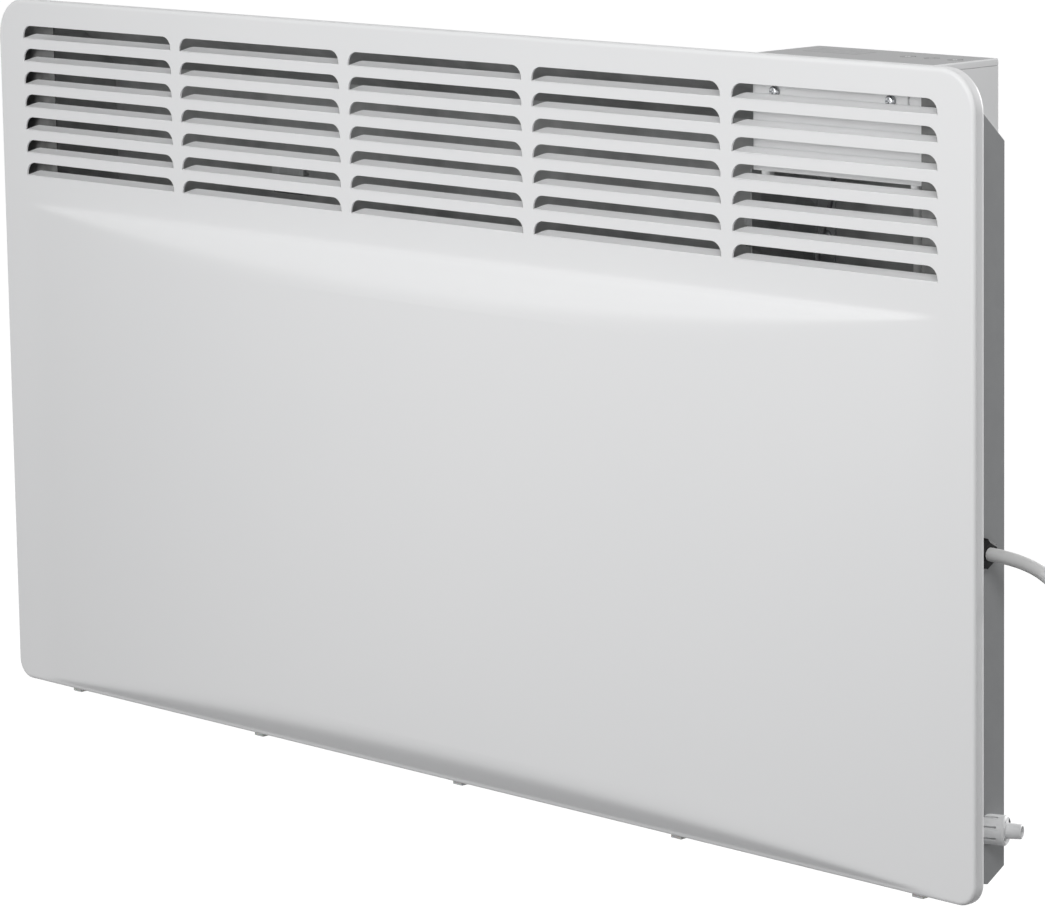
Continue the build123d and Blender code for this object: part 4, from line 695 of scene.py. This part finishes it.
    # outline rings: rolled front edge, rim, rear roll and hem
    outline = [(x, lowerCorner, 0.0, -1.0, lowerCorner) for x in bowXs]
    for cx, cz, radius, first in ((lowerX, lowerCorner, lowerCorner, -90), (innerX, innerHigh, corner, 0),
                                  (-innerX, innerHigh, corner, 90), (-lowerX, lowerCorner, lowerCorner, 180)):
        turned = [math.radians(first) + t for t in arcTurns]
        outline += [(cx, cz, math.cos(t), math.sin(t), radius) for t in turned]

    def ringAt(offset, y, follow):
        made = []
        for cx, cz, nx, nz, radius in outline:
            x, z = cx + nx * (radius - offset), cz + nz * (radius - offset)
            if follow:
                key = (round(x * 1e6), round(z * 1e6))
                fresh = (x, y - bowHeight(values, x, z), footZ + z)
                made.append(known[key] if key in known else mesh.verts.new(fresh))
            else:
                made.append(mesh.verts.new((x, y, footZ + z)))
        return made

    def join(first, second):
        for i in range(len(outline)):
            j = (i + 1) % len(outline)
            mesh.faces.new((first[i], second[i], second[j], first[j]))

    rings = [ringAt(inset, faceY, True), ringAt(values["roll"], faceY, True)]
    roll, rear = values["roll"], values["rearRoll"]
    for k in range(1, 6):
        angle = math.pi / 2 * k / 5
        rings.append(ringAt(roll * (1 - math.sin(angle)), faceY + roll * (1 - math.cos(angle)), False))
    for k in range(0, 5):
        angle = math.pi / 2 * k / 4
        rings.append(ringAt(rear * (1 - math.cos(angle)), high.y - rear + rear * math.sin(angle), False))
    rings.append(ringAt(values["thickness"] + values["hem"], high.y, False))
    for first, second in zip(rings, rings[1:]):
        join(first, second)

    data = bpy.data.meshes.new("frontPanelSheet")
    mesh.normal_update()
    mesh.to_mesh(data)
    mesh.free()
    piece = bpy.data.objects.new("front_panel_sheet", data)
    bpy.context.scene.collection.objects.link(piece)
    wall = piece.modifiers.new("thickness", "SOLIDIFY")
    wall.thickness = values["thickness"]
    wall.offset = -1
    wall.use_even_offset = True
    applyAll(piece)
    softenEdges(piece, values["edge"], 2, 50.0)
    return settle(piece, "heater", "white_enamel", "front_panel")


buildFrontPanel(panelSheet)
print("front panel pressed")


# ---- rigid pieces that keep the frame's form: merged, then their edges are eased
dressed = {
    # node: name of the piece, edge width
    "rear_casing": ("rear_casing_sheet", 0.0003),
    "panel_clips": ("panel_clip_set", 0.0004),
    "control_box": ("control_box_shell", 0.0004),
    "box_cover": ("box_cover_plate", 0.0003),
    "box_cap": ("box_cap_plate", 0.0003),
    "control_inlay": ("control_inlay_film", 0.00015),
    "wall_bracket": ("wall_bracket_sheet", 0.0003),
    "wall_pads": ("wall_pad_pair", 0.0005),
    "partition": ("partition_sheet", 0.0002),
    "heat_shield": ("heat_shield_sheet", 0.00015),
    "heating_element": ("heating_element_fins", 0.0003),
    "left_latch": ("left_latch_slide", 0.0004),
    "right_latch": ("right_latch_slide", 0.0004),
    "cable_grommet": ("cable_grommet_body", 0.0003),
    "sensor_collar": ("sensor_collar_body", 0.0002),
    "sensor_stem": ("sensor_stem_body", 0.0002),
    "box_screws": ("box_screw_pair", 0.00025),
    "plug_body": ("plug_shell", 0.0004),
    "coil_tie": ("coil_tie_band", 0.0003),
}
bodyOfNode = {node: body for body, nodes in frame["record"]["behaviour"]["bodies"].items() for node in nodes}
slotOfNode = {part["node"]: part["material_slot"] for part in frame["record"]["subparts"]}


def dress(node, name, width):
    piece = bpy.data.objects.new(name, frame["nodes"][node].data.copy())
    bpy.context.scene.collection.objects.link(piece)
    piece.data.materials.clear()
    onlySelect(piece)
    bpy.ops.object.mode_set(mode="EDIT")
    bpy.ops.mesh.select_all(action="SELECT")
    bpy.ops.mesh.remove_doubles(threshold=0.00001)
    bpy.ops.mesh.dissolve_limited(angle_limit=math.radians(0.5))
    bpy.ops.object.mode_set(mode="OBJECT")
    softenEdges(piece, width)
    return settle(piece, bodyOfNode[node], slotOfNode[node], node)


dressedPieces = {node: dress(node, name, width) for node, (name, width) in dressed.items()}
print("frame pieces dressed:", len(dressedPieces))

# ---- cross recesses in the cover's two screws
screwRecess = {"across": 0.0034, "slot": 0.0008, "depth": 0.0008, "headRadius": 0.0029}


def cutRecesses(piece, values):
    low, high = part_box("box_screws")
    middleZ = (low.z + high.z) / 2
    for x in (low.x + values["headRadius"], high.x - values["headRadius"]):
        for wide, tall in ((values["across"], values["slot"]), (values["slot"], values["across"])):
            bpy.ops.mesh.primitive_cube_add(size=1, location=(x, low.y, middleZ))
            cutter = bpy.context.object
            bpy.ops.transform.resize(value=(wide, 2 * values["depth"], tall))
            bpy.ops.object.transform_apply(location=True, scale=True)
            recess = piece.modifiers.new("recess", "BOOLEAN")
            recess.operation = "DIFFERENCE"
            recess.object = cutter
            applyAll(piece)
            bpy.data.objects.remove(cutter)


cutRecesses(dressedPieces["box_screws"], screwRecess)
print("screw recesses cut")

# ---- the clips' tongues hang a little lower, as they show under the panel
clipTongue = {"lip": 0.0018, "drop": 0.0016}


def dropTongues(piece, values):
    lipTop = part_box("panel_clips")[0].z + values["lip"]
    for vertex in piece.data.vertices:
        if vertex.co.z < lipTop:
            vertex.co.z -= values["drop"]


dropTongues(dressedPieces["panel_clips"], clipTongue)
print("clip tongues lowered")

# ---- raised marks on the three buttons
buttonMarks = {
    "long": 0.0026, "bar": 0.00045, "rise": 0.00006,
    "ring": 0.0011, "ringBar": 0.0002, "gap": 0.0005,
}


def plainBar(centre, wide, deep, values):
    bpy.ops.mesh.primitive_cube_add(size=1, location=centre)
    bar = bpy.context.object
    bpy.ops.transform.resize(value=(wide, deep, 2 * values["rise"]))
    bpy.ops.object.transform_apply(location=True, scale=True)
    return bar


def markButton(node, values):
    low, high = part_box(node)
    centre = Vector(((low.x + high.x) / 2, (low.y + high.y) / 2, high.z))
    parts = []
    if node != "power_button":
        parts.append(plainBar(centre, values["long"], values["bar"], values))
    if node == "plus_button":
        for side in (-1, 1):
            arm = (values["long"] - values["bar"]) / 2
            place = centre + Vector((0, side * (values["bar"] + arm) / 2, 0))
            parts.append(plainBar(place, values["bar"], arm, values))
    if node == "power_button":
        parts.append(plainBar(centre + Vector((0, values["ring"], 0)), values["bar"], values["ring"], values))
        bpy.ops.mesh.primitive_torus_add(major_radius=values["ring"], minor_radius=values["ringBar"],
                                         major_segments=28, minor_segments=8, location=centre)
        ring = bpy.context.object
        bpy.ops.transform.resize(value=(1, 1, values["rise"] / values["ringBar"]))
        bpy.ops.object.transform_apply(location=True, scale=True)
        bpy.ops.object.mode_set(mode="EDIT")
        bpy.ops.mesh.select_all(action="DESELECT")
        mesh = bmesh.from_edit_mesh(ring.data)
        for vertex in mesh.verts:
            near = abs(vertex.co.x - centre.x) < values["gap"] and vertex.co.y > centre.y
            vertex.select_set(near)
        mesh.select_flush_mode()
        bmesh.update_edit_mesh(ring.data)
        bpy.ops.mesh.delete(type="VERT")
        bpy.ops.mesh.select_all(action="SELECT")
        bpy.ops.mesh.fill_holes(sides=12)
        bpy.ops.object.mode_set(mode="OBJECT")
        parts.append(ring)
    onlySelect(parts[0])
    for part in parts:
        part.select_set(True)
    if len(parts) > 1:
        bpy.ops.object.join()
    mark = bpy.context.object
    mark.name = node + "_mark"
    return settle(mark, bodyOfNode[node], "pale_plastic")


for node in ("plus_button", "minus_button", "power_button"):
    markButton(node, buttonMarks)
print("button marks raised")

# ---- the frame's remaining nodes take their finishes
for node, piece in frame["nodes"].items():
    for holder in piece.material_slots:
        holder.material = finishes[slotOfNode[node]]
print("nodes finished:", len(frame["nodes"]))
